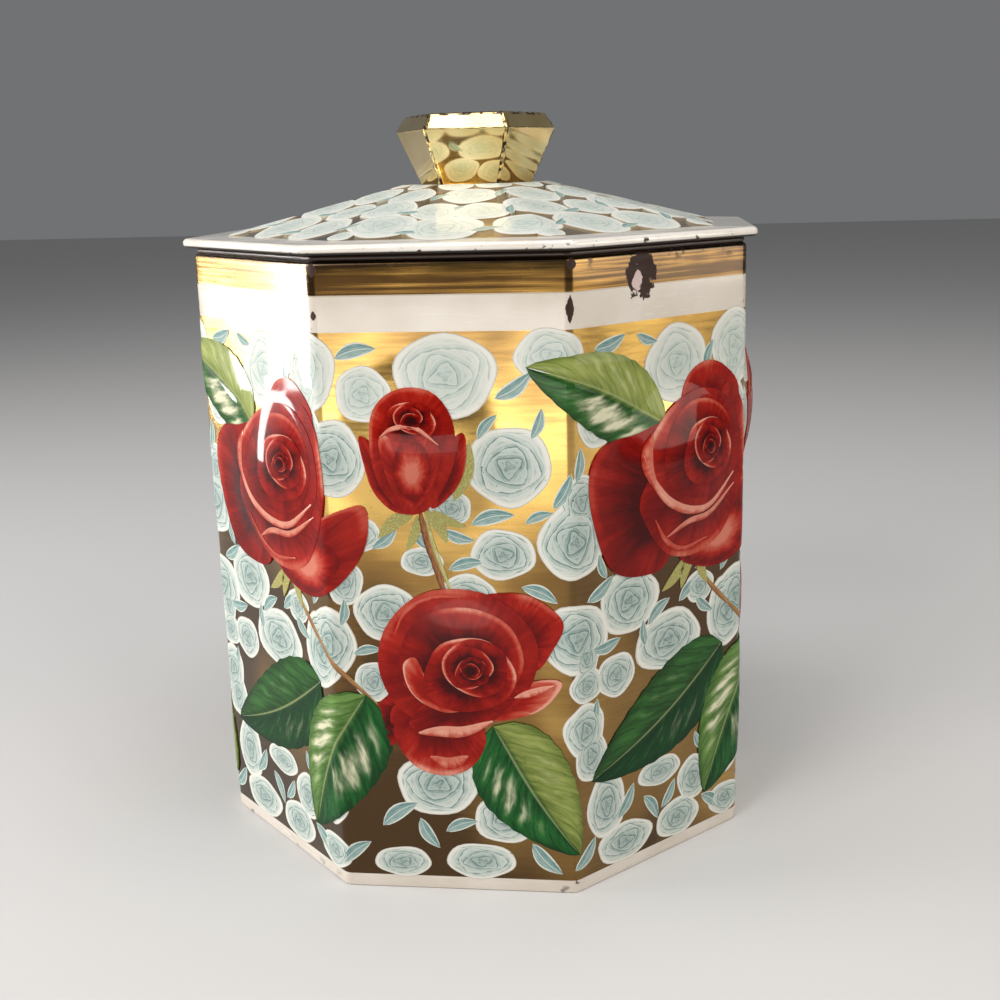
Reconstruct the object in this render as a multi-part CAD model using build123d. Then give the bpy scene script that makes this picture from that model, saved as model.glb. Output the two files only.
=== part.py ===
"""Eight-sided pressed tin with a lift-off lid, for bobbins and small sewing things.

The body is one printed and embossed tinplate sheet, bent into an octagon and locked at one rear corner.
Its top edge is curled inwards, and its bottom edge is folded round the flange of a pressed base plate.
The lid is a low eight-sided roof with a curled rim, and the curl grips the flange of a plug collar that
slides into the body's mouth. A hollow six-sided knob is riveted through the middle of the lid.

Units are millimetres. +Z is up, the origin is the centre of the footprint, and -Y faces the front.
"""

import os
from math import atan2, cos, degrees, pi, radians, sin, tan

from build123d import *

# Overall sizes
BODY_FLATS = 120.0  # body, outside, flat to flat
BODY_HEIGHT = 133.0
LID_OVERHANG = 2.2  # how far the lid's rim stands out past the body
SIDES = 8
SHEET = 0.3  # tinplate thickness
BEND_RADIUS = 3.0  # outside radius of the body's corners

# Body edges
MOUTH_CURL = 1.6  # diameter of the curl at the mouth
CURL_SWEEP = 250.0  # degrees of curl
FOOT_BEND = 0.4  # outside radius of the two folds under the foot
FOOT_LEG = 2.2  # height of the folded-in leg
SIDE_SEAM_WIDTH = 4.0
SIDE_SEAM_THICKNESS = 0.6
SIDE_SEAM_CLEAR = 3.0  # from the seam's ends to the foot and to the curl

# Base plate
BASE_LIFT = 0.2  # from the top of the folded leg to the plate
BASE_STEP = 0.8  # the middle of the plate is pressed up by this
BASE_BORDER = 9.0  # from the plate's edge to that step
SEAM_GAP = 0.15  # either side of the plate's flange, in the folded foot

# Embossed domes behind the flowers: from the face's left and right edges to the dome, from the mouth
# down to the dome's top, and how far the dome stands out
BUD_DOME = {"left": 2.0, "right": 11.9, "drop": 18.4, "height": 3.5}
LOW_ROSE_DOME = {"left": 6.9, "right": 3.0, "drop": 65.2, "height": 1.8}
HIGH_ROSE_DOME = {"left": 9.0, "right": 2.0, "drop": 26.5, "height": 3.0}

# Lid
RIM_CURL = 2.0  # diameter of the rim curl
RIM_JOIN = 1.0  # flat strip between the curl and the border
RIM_LIFT = 1.3  # from the mouth up to the underside of the rim
LID_BORDER = 8.2  # flat border between the rim's outside and the roof
ROOF_RISE = 9.8
ROOF_TOP_FLATS = 32.4  # the small flat top that carries the knob
ROOF_RIDGE_RADIUS = 3.0

# Plug collar
COLLAR_GAP = 0.3  # between the collar and the mouth curl
COLLAR_DEPTH = 11.0  # below the mouth
COLLAR_BEND = 0.4  # inside radius of its folds
COLLAR_LEAD_IN = 1.5
COLLAR_LEAD_IN_SET = 0.4  # how far the lead-in slopes inwards
COLLAR_LEAD_IN_BEND = 1.0
COLLAR_STOP = 1.2  # height of the swaged bead that rests on the mouth
COLLAR_STOP_OVERLAP = 0.3  # how far the bead reaches past the top of the mouth's curl
COLLAR_LAP = 6.0  # width of the strip's overlapped ends
SEAT_GAP = 0.05  # between faces that rest on each other

# Knob
KNOB_SIDES = 6
KNOB_SHEET = 0.4
KNOB_FOOT_FLATS = 22.4
KNOB_MOUTH_FLATS = 32.0
KNOB_TOP_FLATS = 28.0
KNOB_CUP_HEIGHT = 11.9
KNOB_CAP_HEIGHT = 3.4
KNOB_CAP_SKIRT = 1.4
KNOB_RIDGE_RADIUS = 0.9
KNOB_CAP_ROUNDING = 0.8

# Rivet and its washer
RIVET_RADIUS = 2.0
RIVET_HEAD_RADIUS = 4.0
RIVET_HEAD = 1.2
RIVET_CLINCH_RADIUS = 3.2
RIVET_CLINCH = 0.9
RIVET_BORE_RADIUS = 1.2
RIVET_HOLE_GAP = 0.05
WASHER_RADIUS = 8.0
WASHER_THICKNESS = 0.8

# Places that follow from the sizes above
BODY_HALF = BODY_FLATS / 2
BEND_HALF = BODY_HALF - BEND_RADIUS  # how far out the axes of the bends stand
BEND_RUN = 2 * BEND_HALF * tan(pi / SIDES)  # from one bend's axis to the next
FACE_WIDTH = BODY_FLATS * tan(pi / SIDES)
MOUTH_HALF = BODY_HALF - MOUTH_CURL
FOOT_WIDTH = 3 * SHEET + 2 * SEAM_GAP
FOOT_HALF = BODY_HALF - FOOT_WIDTH
COLLAR_HALF = MOUTH_HALF - COLLAR_GAP
COLLAR_STOP_HALF = BODY_HALF - MOUTH_CURL / 2 + COLLAR_STOP_OVERLAP
RIM_HALF = BODY_HALF + LID_OVERHANG
RIM_BOTTOM = BODY_HEIGHT + RIM_LIFT
RIM_TAIL = RIM_CURL / 2 - 2 * (SHEET + SEAT_GAP)  # the curl's straight end, up to the collar's flange
LID_TOP = RIM_BOTTOM + RIM_CURL
ROOF_HALF = RIM_HALF - LID_BORDER
KNOB_Z = LID_TOP + ROOF_RISE
BASE_Z = FOOT_LEG + BASE_LIFT
PANEL_TURN = 360 / SIDES
UP = (Align.CENTER, Align.CENTER, Align.MIN)
DOWN = (Align.CENTER, Align.CENTER, Align.MAX)


def polygon(flats, sides, corner, z=0.0):
    """A flat regular polygon with rounded corners. Two of its sides face -Y and +Y."""
    face = Pos(0, 0, z) * RegularPolygon(flats / 2, sides, major_radius=False, rotation=180 / sides - 90)
    return fillet(face.vertices(), corner)


def octagon(half, z=0.0, bend=None):
    """The body's octagon at another distance from the axis, with its bends on the same axes."""
    return polygon(2 * half, SIDES, half - BEND_HALF if bend is None else bend, z)


def prism(face, height):
    return extrude(face, amount=height, dir=(0, 0, 1))


def ring(outer, inner, height):
    return prism(outer, height) - prism(inner, height)


def toward(angle):
    return Vector(cos(radians(angle)), sin(radians(angle)))


def walk(start, heading, moves, shift=0.0):
    """Edges walked from a start. A move is (how far ahead, then how many degrees to turn, at what radius).

    Positive turns go left. Shift slides the whole line to its own left.
    """
    at = Vector(*start) + toward(heading + 90) * shift
    edges = []
    for ahead, turn, radius in moves:
        if ahead:
            end = at + toward(heading) * ahead
            edges.append(Line(at, end))
            at = end
        if turn:
            hand = 1 if turn > 0 else -1
            bend = radius - hand * shift
            centre = at + toward(heading + 90 * hand) * bend
            edges.append(CenterArc(centre, bend, heading - 90 * hand, turn))
            heading += turn
            at = centre + toward(heading - 90 * hand) * bend
    return edges


def sheet_ring(start, heading, moves, left=True):
    """Sheet metal whose skin is walked in (distance from the axis, height), taken round all the sides."""
    skin = walk(start, heading, moves)
    back = walk(start, heading, moves, SHEET if left else -SHEET)
    ends = [Line(skin[0] @ 0, back[0] @ 0), Line(skin[-1] @ 1, back[-1] @ 1)]
    section = Plane.XZ * make_face(skin + back + ends)
    side = extrude(section, amount=BEND_RUN / 2, both=True)
    bend = revolve(section, axis=Axis((BEND_HALF, 0, 0), (0, 0, 1)), revolution_arc=PANEL_TURN)
    one = side + Pos(0, BEND_RUN / 2, 0) * bend
    return Part() + [Rot(0, 0, PANEL_TURN * n) * one for n in range(SIDES)]


def wall_sheet():
    """The bent sheet, walked from the top of the folded leg, under the foot, and up to the curl."""
    curl = MOUTH_CURL / 2
    moves = [
        (FOOT_LEG - FOOT_BEND, 90, FOOT_BEND),
        (FOOT_WIDTH - 2 * FOOT_BEND, 90, FOOT_BEND),
        (BODY_HEIGHT - curl - FOOT_BEND, CURL_SWEEP, curl),
    ]
    return sheet_ring((FOOT_HALF, FOOT_LEG), -90, moves)


def on_face(number, from_left, z):
    """A place on the outside of a face, its z pointing out. Face 0 is the front; 1 is to its right."""
    along = from_left - FACE_WIDTH / 2
    frame = Plane(origin=(along, -BODY_HALF, z), x_dir=(1, 0, 0), z_dir=(0, -1, 0))
    return Rot(0, 0, PANEL_TURN * number) * frame.location


def dome(number, plan):
    """The metal to add and the hollow to cut for one round embossing of a face."""
    radius = (FACE_WIDTH - plan["left"] - plan["right"]) / 2
    height = plan["height"]
    ball = (radius**2 + height**2) / (2 * height)
    place = on_face(number, plan["left"] + radius, BODY_HEIGHT - plan["drop"] - radius)
    centre = Pos(0, 0, height - ball)
    room = radius + 1
    metal = centre * Sphere(ball) & Pos(0, 0, -SHEET / 2) * Cylinder(room, 2 * height, align=UP)
    hollow = centre * Sphere(ball - SHEET) & Pos(0, 0, -2 * SHEET) * Cylinder(room, 2 * height, align=UP)
    return place * metal, place * hollow


def side_seam():
    """The lock seam, folded flat inside a rear face beside its bend."""
    low = FOOT_LEG + SIDE_SEAM_CLEAR
    high = BODY_HEIGHT - MOUTH_CURL - SIDE_SEAM_CLEAR
    place = on_face(SIDES // 2 - 1, BEND_RADIUS + SIDE_SEAM_WIDTH / 2, low)
    thick = SHEET / 2 + SIDE_SEAM_THICKNESS
    seam = Box(SIDE_SEAM_WIDTH, high - low, thick, align=(Align.CENTER, Align.MIN, Align.MAX))
    return place * Pos(0, 0, -SHEET / 2) * seam


def body_wall():
    plain = range(0, SIDES, 2)
    turned = range(1, SIDES, 2)
    plans = [(n, BUD_DOME) for n in plain]
    plans += [(n, LOW_ROSE_DOME) for n in plain]
    plans += [(n, HIGH_ROSE_DOME) for n in turned]
    metal, hollow = zip(*[dome(number, plan) for number, plan in plans])
    return wall_sheet() + list(metal) - list(hollow) + side_seam()


def base_plate():
    """A shallow tray, upside down: a flange that stands in the folded foot, a border and a raised middle."""
    flange = BODY_HALF - SHEET - SEAM_GAP
    step = flange - BASE_BORDER
    low = FOOT_BEND + SEAM_GAP
    tray = ring(octagon(flange, low), octagon(flange - SHEET, low), BASE_Z + SHEET - low)
    border = ring(octagon(flange, BASE_Z), octagon(step - SHEET, BASE_Z, BEND_RADIUS), SHEET)
    riser = ring(octagon(step, BASE_Z, BEND_RADIUS), octagon(step - SHEET, BASE_Z, BEND_RADIUS), BASE_STEP)
    middle = prism(octagon(step, BASE_Z + BASE_STEP, BEND_RADIUS), SHEET)
    return tray + border + riser + middle


def roof(z):
    """A solid low roof that stands on z."""
    foot = octagon(ROOF_HALF, z, ROOF_RIDGE_RADIUS)
    top = octagon(ROOF_TOP_FLATS / 2, z + ROOF_RISE, ROOF_RIDGE_RADIUS)
    return loft([foot, top], ruled=True)


def rim():
    """The curled rim, with the strip that joins it to the border."""
    curl = RIM_CURL / 2
    moves = [(RIM_JOIN, -270, curl), (RIM_TAIL, 0, 0)]
    return sheet_ring((RIM_HALF - curl - RIM_JOIN, LID_TOP), 0, moves, left=False)


def lid_panel():
    border = prism(octagon(RIM_HALF - RIM_CURL / 2 - RIM_JOIN / 2, LID_TOP - SHEET), SHEET)
    panel = border + roof(LID_TOP) - roof(LID_TOP - SHEET) + rim()
    return panel - Pos(0, 0, KNOB_Z) * Cylinder(RIVET_RADIUS + RIVET_HOLE_GAP, 4 * SHEET)


def lid_collar():
    """The plug ring, walked down its inside: flange under the lid's border, bead, tube and lead-in."""
    skin = COLLAR_HALF - SHEET
    flange_end = RIM_HALF - RIM_CURL / 2
    flange_top = LID_TOP - SHEET - SEAT_GAP
    foot = BODY_HEIGHT - COLLAR_DEPTH
    bead_low = BODY_HEIGHT + SEAT_GAP
    bead_top = bead_low + COLLAR_STOP
    nose = COLLAR_STOP / 2 - SHEET
    out = COLLAR_STOP_HALF - COLLAR_STOP / 2 - skin - COLLAR_BEND
    down = bead_low + SHEET - COLLAR_BEND - foot - COLLAR_LEAD_IN
    lead_in = degrees(atan2(COLLAR_LEAD_IN_SET, COLLAR_LEAD_IN))
    moves = [
        (flange_end - skin - COLLAR_BEND, 90, COLLAR_BEND),
        (flange_top - bead_top + SHEET - 2 * COLLAR_BEND, 90, COLLAR_BEND),
        (out, -180, nose),
        (out, 90, COLLAR_BEND),
        (down, -lead_in, COLLAR_LEAD_IN_BEND),
        (COLLAR_LEAD_IN, 0, 0),
    ]
    lap_low = foot + 2 * COLLAR_LEAD_IN
    lap = Box(COLLAR_LAP, 1.5 * SHEET, BODY_HEIGHT - lap_low, align=(Align.CENTER, Align.MAX, Align.MIN))
    lap_place = Pos(FACE_WIDTH / 4, COLLAR_HALF - SHEET / 2, lap_low)
    return sheet_ring((flange_end, flange_top), 180, moves) + lap_place * lap


def hexagon(flats, z):
    return polygon(flats, KNOB_SIDES, KNOB_RIDGE_RADIUS, z)


def knob_cup():
    """The flared cup. Its floor is riveted to the lid and its mouth takes the cap."""
    z = KNOB_Z + SEAT_GAP
    top = KNOB_Z + KNOB_CUP_HEIGHT
    inside = 2 * KNOB_SHEET
    outer = loft([hexagon(KNOB_FOOT_FLATS, z), hexagon(KNOB_MOUTH_FLATS, top)], ruled=True)
    floor = hexagon(KNOB_FOOT_FLATS - inside, z + KNOB_SHEET)
    hollow = loft([floor, hexagon(KNOB_MOUTH_FLATS - inside, top)], ruled=True)
    return outer - hollow - Pos(0, 0, z) * Cylinder(RIVET_RADIUS + RIVET_HOLE_GAP, 4 * KNOB_SHEET)


def knob_cap():
    """The bevelled cap. It sits on the cup's mouth and its skirt drops inside."""
    z = KNOB_Z + KNOB_CUP_HEIGHT + SEAT_GAP
    inside = 2 * KNOB_SHEET
    flare = (KNOB_MOUTH_FLATS - KNOB_FOOT_FLATS) / KNOB_CUP_HEIGHT
    skirt = KNOB_MOUTH_FLATS - inside - flare * KNOB_CAP_SKIRT - 4 * SEAT_GAP
    bore = skirt - inside
    outer = loft([hexagon(KNOB_MOUTH_FLATS, z), hexagon(KNOB_TOP_FLATS, z + KNOB_CAP_HEIGHT)], ruled=True)
    outer = fillet(outer.faces().sort_by(Axis.Z)[-1].edges(), KNOB_CAP_ROUNDING)
    under = hexagon(KNOB_TOP_FLATS - 2 * inside, z + KNOB_CAP_HEIGHT - KNOB_SHEET)
    cap = outer + prism(hexagon(skirt, z - KNOB_CAP_SKIRT), KNOB_CAP_SKIRT)
    hollow = loft([hexagon(bore, z), under], ruled=True)
    return cap - hollow - prism(hexagon(bore, z - KNOB_CAP_SKIRT), KNOB_CAP_SKIRT)


def knob_rivet():
    """A half-tubular rivet: its head is in the cup and its tube is clinched under the washer."""
    floor = KNOB_Z + KNOB_SHEET + 2 * SEAT_GAP
    under = KNOB_Z - SHEET - WASHER_THICKNESS - 2 * SEAT_GAP
    head = Pos(0, 0, floor) * Cylinder(RIVET_HEAD_RADIUS, RIVET_HEAD, align=UP)
    head = fillet(head.edges().sort_by(Axis.Z)[-1], RIVET_HEAD / 2)
    shank = Pos(0, 0, under) * Cylinder(RIVET_RADIUS, floor - under, align=UP)
    clinch = Pos(0, 0, under) * Cylinder(RIVET_CLINCH_RADIUS, RIVET_CLINCH, align=DOWN)
    clinch = fillet(clinch.edges().sort_by(Axis.Z)[0], RIVET_CLINCH / 2)
    bore = Pos(0, 0, under - RIVET_CLINCH) * Cylinder(RIVET_BORE_RADIUS, 2 * RIVET_CLINCH, align=UP)
    return head + shank + clinch - bore


def knob_washer():
    top = KNOB_Z - SHEET - SEAT_GAP
    disc = Cylinder(WASHER_RADIUS, WASHER_THICKNESS, align=DOWN)
    return Pos(0, 0, top) * (disc - Cylinder(RIVET_RADIUS + RIVET_HOLE_GAP, 3 * WASHER_THICKNESS))


NODES = {
    "body_wall": body_wall,
    "base_plate": base_plate,
    "lid_panel": lid_panel,
    "lid_collar": lid_collar,
    "knob_cup": knob_cup,
    "knob_cap": knob_cap,
    "knob_rivet": knob_rivet,
    "knob_washer": knob_washer,
}

os.makedirs("parts", exist_ok=True)
for name, make in NODES.items():
    shape = make()
    export_step(shape, f"parts/{name}.step")
    print(name, "solids", len(shape.solids()), "mm3", round(shape.volume, 1))
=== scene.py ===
# %% [markdown]
# # An eight-sided flower tin
# The tin is printed sheet metal: gold lacquer first, then cream bands, pale blossoms and red roses in
# enamel, and then the sheet is embossed, bent round and curled. This lesson follows the same order. The
# metal is modelled in the round. The print is drawn flat, in millimetres along the sheet and up it, and
# one function bends it round with the sheet, so a flower can run over a corner as the real print does.

# %% Load the frame
from math import atan2, cos, hypot, pi, radians, sin, tan

import bpy
import numpy as np
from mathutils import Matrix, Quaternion, Vector


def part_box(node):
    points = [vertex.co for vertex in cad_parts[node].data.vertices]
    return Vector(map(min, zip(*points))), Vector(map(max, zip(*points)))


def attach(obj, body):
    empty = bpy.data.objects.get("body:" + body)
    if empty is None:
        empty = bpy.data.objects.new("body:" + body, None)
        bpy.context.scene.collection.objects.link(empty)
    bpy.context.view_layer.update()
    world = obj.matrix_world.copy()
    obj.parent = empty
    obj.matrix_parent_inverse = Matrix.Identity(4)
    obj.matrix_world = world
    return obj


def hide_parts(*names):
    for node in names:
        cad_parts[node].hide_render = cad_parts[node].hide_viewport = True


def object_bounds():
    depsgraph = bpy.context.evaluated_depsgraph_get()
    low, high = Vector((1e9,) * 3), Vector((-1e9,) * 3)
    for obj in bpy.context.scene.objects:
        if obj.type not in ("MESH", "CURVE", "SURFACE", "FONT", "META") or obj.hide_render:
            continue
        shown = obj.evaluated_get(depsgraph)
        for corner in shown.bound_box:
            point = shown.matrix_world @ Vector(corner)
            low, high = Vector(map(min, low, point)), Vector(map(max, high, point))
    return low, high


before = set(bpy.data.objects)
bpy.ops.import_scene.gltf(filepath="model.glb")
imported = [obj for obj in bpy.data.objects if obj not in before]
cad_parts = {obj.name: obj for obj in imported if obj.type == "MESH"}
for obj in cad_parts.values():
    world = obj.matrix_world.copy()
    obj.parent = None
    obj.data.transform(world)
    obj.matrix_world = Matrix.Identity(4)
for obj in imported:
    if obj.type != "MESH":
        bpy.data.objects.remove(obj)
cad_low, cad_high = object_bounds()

bpy.ops.object.select_all(action="DESELECT")
print("frame", list(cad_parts))

# %% [markdown]
# ## Sizes
# The main sizes are worked out from the imported nodes, so the looks always fit the metal. The base plate
# stands one sheet and one small gap inside the wall, which gives the wall's own half width. A millimetre
# is a handy unit for print, so MM turns it into Blender's metres at the very end.

# %% Sizes from the frame
MM = 0.001
SIDES = 8
TURN = 2 * pi / SIDES
SHEET = 0.3
BEND = 3.0  # outside radius of the wall's corners
PLATE_GAP = 0.45  # sheet and gap between the base plate's flange and the wall's skin
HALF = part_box("base_plate")[1].x / MM + PLATE_GAP
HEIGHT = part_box("body_wall")[1].z / MM
FACE = 2 * HALF * tan(TURN / 2)
BEND_REACH = BEND * tan(TURN / 2)  # how far a bend reaches into the faces beside it
MOUTH_CURL = 0.8
FOOT_WIDTH = 1.2
FOOT_BEND = 0.4
FOOT_LEG = 2.2

rim_low, rim_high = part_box("lid_panel")
RIM_HALF = rim_high.x / MM
RIM_CURL = 1.0
LID_TOP = rim_low.z / MM + 2 * RIM_CURL
ROOF_TOP = rim_high.z / MM
LID_BORDER = 8.2
ROOF_HALF = RIM_HALF - LID_BORDER
ROOF_TOP_HALF = 16.2
for name, size in {"half": HALF, "face": FACE, "height": HEIGHT, "lid top": LID_TOP}.items():
    print(name, round(size, 2))

# %% [markdown]
# ## Camera
# A camera is a place, a direction and a lens. The tin is seen from just right of its front face, from a
# little above the lid, with a slight tilt of the hand. Writing the direction as two angles is easier to
# adjust than a rotation matrix, and the tilt is one more turn about the line of sight.

# %% Camera
CAMERA_PLACE = (0.0398, -0.3018, 0.1493)
CAMERA_HEADING = radians(6.87)
CAMERA_PITCH = radians(-14.51)
CAMERA_TILT = radians(-1.57)
CAMERA_LENS = 46.07

camera = bpy.data.objects.new("camera", bpy.data.cameras.new("camera"))
bpy.context.scene.collection.objects.link(camera)
camera.data.lens = CAMERA_LENS
camera.data.sensor_width = 36
camera.data.clip_start = 0.01
camera.location = CAMERA_PLACE
ahead = Vector((
    -sin(CAMERA_HEADING) * cos(CAMERA_PITCH),
    cos(CAMERA_HEADING) * cos(CAMERA_PITCH),
    sin(CAMERA_PITCH),
))
camera.rotation_mode = "QUATERNION"
camera.rotation_quaternion = ahead.to_track_quat("-Z", "Y") @ Quaternion((0, 0, 1), CAMERA_TILT)
bpy.context.scene.camera = camera
print("camera looks along", [round(x, 3) for x in ahead])

# %% [markdown]
# ## Light and floor
# Gold lacquer is a coloured mirror, so it shows whatever is around it. Large soft panels on a dim grey
# world give it bright and dark bands to show. The panel on the left is the window of the scene: the left
# face catches it. It stands close by, so the floor is kept out of its light, or it would show a hard
# bright wedge.

# %% Light and floor
def soft_panel(name, place, aim, size, brightness, colour=(1, 1, 1)):
    """A rectangular area light at a place, aimed at a point. Its power follows its area."""
    light = bpy.data.lights.new(name, "AREA")
    light.shape = "RECTANGLE"
    light.size, light.size_y = size
    light.energy = brightness * pi * size[0] * size[1]
    light.color = colour
    panel = bpy.data.objects.new(name, light)
    bpy.context.scene.collection.objects.link(panel)
    panel.visible_camera = False
    panel.location = place
    direction = Vector(aim) - Vector(place)
    panel.rotation_mode = "QUATERNION"
    panel.rotation_quaternion = direction.to_track_quat("-Z", "Y")
    return panel


middle = (0, 0, 0.1)
window = soft_panel(
    "window_left", (-0.5, 0.062, 0.17), (0, 0.062, 0.17), (0.045, 0.28), 40.0, (1, 0.98, 0.96)
)
soft_panel("key", (-0.45, -0.65, 0.6), middle, (0.45, 0.45), 7.0, (1, 0.98, 0.95))
soft_panel("ceiling", (0.05, -0.1, 0.85), middle, (0.6, 0.6), 3.2)
soft_panel("low_front", (-0.07, -0.47, 0.042), (-0.07, 0, 0.042), (0.34, 0.08), 3.5, (1, 0.97, 0.9))
soft_panel("left_fill", (-0.75, -0.1, 0.35), middle, (0.35, 0.35), 6.5)
soft_panel("right_fill", (0.75, -0.1, 0.24), (0, -0.1, 0.24), (0.35, 0.35), 4.2, (1, 0.93, 0.82))
soft_panel("right_high", (0.55, -0.5, 0.7), middle, (0.4, 0.4), 3.5, (1, 0.97, 0.93))

world = bpy.data.worlds.new("studio")
world.use_nodes = True
bpy.context.scene.world = world
background = world.node_tree.nodes["Background"]
background.inputs["Color"].default_value = (0.55, 0.56, 0.58, 1)
background.inputs["Strength"].default_value = 0.3
bpy.context.scene.view_settings.view_transform = "Standard"

bpy.ops.mesh.primitive_plane_add(size=6, location=(0, 0, cad_low.z))
floor = bpy.context.object
floor.name = "floor"
floor_paint = bpy.data.materials.new("pale_floor")
floor_paint.use_nodes = True
floor_shader = floor_paint.node_tree.nodes["Principled BSDF"]
floor_shader.inputs["Base Color"].default_value = (0.62, 0.61, 0.6, 1)
floor_shader.inputs["Roughness"].default_value = 0.6
floor.data.materials.append(floor_paint)

keeps_off = bpy.data.collections.new("window_keeps_off")
keeps_off.objects.link(floor)
keeps_off.collection_objects[0].light_linking.link_state = "EXCLUDE"
window.light_linking.receiver_collection = keeps_off
print("light panels", len(bpy.data.lights))

# %% [markdown]
# ## Bending the sheet round
# A point on the flat sheet has three numbers: how far along it is, how high, and how far it stands out of
# the skin. On a flat side the way round is a straight line. Within reach of a corner it is an arc of the
# bend. The function below does that for all points at once, so the wall and every printed shape share it.
# The embossing is a second function: a low dome, pressed out of the sheet, under each rose and bud.

# %% The bend function
def bend_round(along, up, out):
    """Points on the flat sheet, in millimetres, to points on the tin, in metres."""
    face = np.floor(along / FACE)
    across = along - face * FACE
    left = np.clip(1 - across / BEND_REACH, 0, 1)
    right = np.clip(1 - (FACE - across) / BEND_REACH, 0, 1)
    angle = (right - left) * TURN / 2
    on_flat = np.clip(across, BEND_REACH, FACE - BEND_REACH) - FACE / 2
    x = on_flat + (BEND + out) * np.sin(angle)
    y = -(HALF - BEND) - (BEND + out) * np.cos(angle)
    c, s = np.cos(face * TURN), np.sin(face * TURN)
    return np.stack([c * x - s * y, s * x + c * y, up], axis=1) * MM


# The print repeats every two faces. Each dome is (along, up, radius, height) within one repeat.
REPEAT = 2 * FACE
BUD_DOME = (19.9, 96.7, 17.9, 2.9)
LOW_ROSE_DOME = (26.8, 47.9, 19.9, 1.5)
HIGH_ROSE_DOME = (FACE + 28.3, 87.1, 19.4, 2.5)


def embossing(along, up):
    """How far the embossed sheet stands out at a point of the flat sheet."""
    height = np.zeros_like(along)
    for middle_along, middle_up, radius, rise in (BUD_DOME, LOW_ROSE_DOME, HIGH_ROSE_DOME):
        away = (along - middle_along + REPEAT / 2) % REPEAT - REPEAT / 2
        reach = np.hypot(away, up - middle_up) / radius
        height = np.maximum(height, rise * np.clip(1 - reach**2, 0, 1) ** 1.5)
    return height


print("print repeats every", round(REPEAT, 2))


# %% [markdown]
# ## Small mesh helpers
# An operator works on whatever is selected in edit mode. These helpers enter edit mode with nothing
# selected, select by a test and leave again, so each piece below only says what is done to it.

# %% Small mesh helpers
def arc(centre, radius, start, end, steps):
    """Points along an arc, in degrees, both ends included."""
    return [
        (centre[0] + radius * cos(radians(a)), centre[1] + radius * sin(radians(a)))
        for a in np.linspace(start, end, steps + 1)
    ]


def edit(action, mode="VERT"):
    """Runs one function on the active object in edit mode, with everything deselected first."""
    bpy.ops.object.mode_set(mode="EDIT")
    bpy.ops.mesh.select_mode(type=mode)
    bpy.ops.mesh.select_all(action="DESELECT")
    action()
    bpy.ops.object.mode_set(mode="OBJECT")


def pick(elements, test):
    """Selects the elements that pass a test."""
    bpy.ops.object.mode_set(mode="OBJECT")
    for e in elements():
        if test(e):
            e.select = True
    bpy.ops.object.mode_set(mode="EDIT")


def edge_ends(piece, e):
    return [piece.data.vertices[i].co for i in e.vertices]


def bevel_where(piece, width, segments, test):
    """Bevels the edges that pass a test."""
    def bevel():
        pick(lambda: piece.data.edges, test)
        bpy.ops.mesh.bevel(offset=width * MM, segments=segments, affect="EDGES")

    edit(bevel, "EDGE")


def make_consistent():
    """Merges doubles and makes the faces agree on which side is out; runs in edit mode."""
    bpy.ops.mesh.select_all(action="SELECT")
    bpy.ops.mesh.remove_doubles(threshold=1e-5)
    bpy.ops.mesh.normals_make_consistent(inside=False)


def face_outwards(piece):
    """Turns an upright skin's faces so that they point away from the tin's axis."""
    edit(make_consistent)
    if sum(f.normal.x * f.center.x + f.normal.y * f.center.y for f in piece.data.polygons) < 0:
        piece.data.flip_normals()


def smooth_below(degrees):
    """Shades the active piece smooth, except over creases sharper than this."""
    bpy.ops.object.shade_smooth_by_angle(angle=radians(degrees))


def read_points(piece):
    co = np.empty(len(piece.data.vertices) * 3)
    piece.data.vertices.foreach_get("co", co)
    return co.reshape(-1, 3)


def write_points(piece, points):
    piece.data.vertices.foreach_set("co", points.ravel())


def write_value(mesh, name, values):
    """Keeps a number for every point, for a material to read."""
    mesh.attributes.new(name, "FLOAT", "POINT").data.foreach_set("value", values)


def thicken(piece, thickness, inner_slot=0):
    """Gives a skin its thickness, behind the skin, and applies it."""
    while len(piece.data.materials) <= inner_slot:
        piece.data.materials.append(None)
    solid = piece.modifiers.new("thickness", "SOLIDIFY")
    solid.thickness = thickness * MM
    solid.offset = -1
    solid.use_even_offset = False
    solid.material_offset = inner_slot
    solid.material_offset_rim = inner_slot
    bpy.context.view_layer.objects.active = piece
    bpy.ops.object.modifier_apply(modifier=solid.name)


def finish_piece(piece, name, body, slot, *materials):
    """Names a piece, gives it its finish and puts it on its body."""
    piece.name = name
    piece.data.name = name
    for number, material in enumerate(materials):
        if number < len(piece.data.materials):
            piece.data.materials[number] = material
        else:
            piece.data.materials.append(material)
    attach(piece, body)
    print(name, len(piece.data.vertices), "vertices")
    return piece


# %% [markdown]
# ## Building materials
# A material is a small tree of nodes. A few helpers add a node, fill its sockets and hand back its output.
# An output knows which tree it belongs to, so a sum of two outputs finds its own place, and each finish
# below reads from top to bottom like a recipe.

# %% Node helpers
def put(tree, kind, *values, **settings):
    """Adds a node, sets its options, and fills its sockets in order with numbers or other outputs."""
    node = tree.nodes.new(kind)
    for key, value in settings.items():
        setattr(node, key, value)
    for socket, value in zip(node.inputs, values):
        feed(socket, value)
    return node


def feed(socket, value):
    """Joins a node's output to a socket, or sets the socket to a plain value."""
    if isinstance(value, bpy.types.NodeSocket):
        socket.id_data.links.new(value, socket)
    elif value is not None:
        socket.default_value = value


def tree_of(*values):
    """The tree of the first value that is a node's output."""
    return next(value.id_data for value in values if isinstance(value, bpy.types.NodeSocket))


def sums(operation, *values):
    return put(tree_of(*values), "ShaderNodeMath", *values, operation=operation).outputs[0]


def plus(first, second):
    return sums("ADD", first, second)


def minus(first, second):
    return sums("SUBTRACT", first, second)


def times(first, second):
    return sums("MULTIPLY", first, second)


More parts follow.
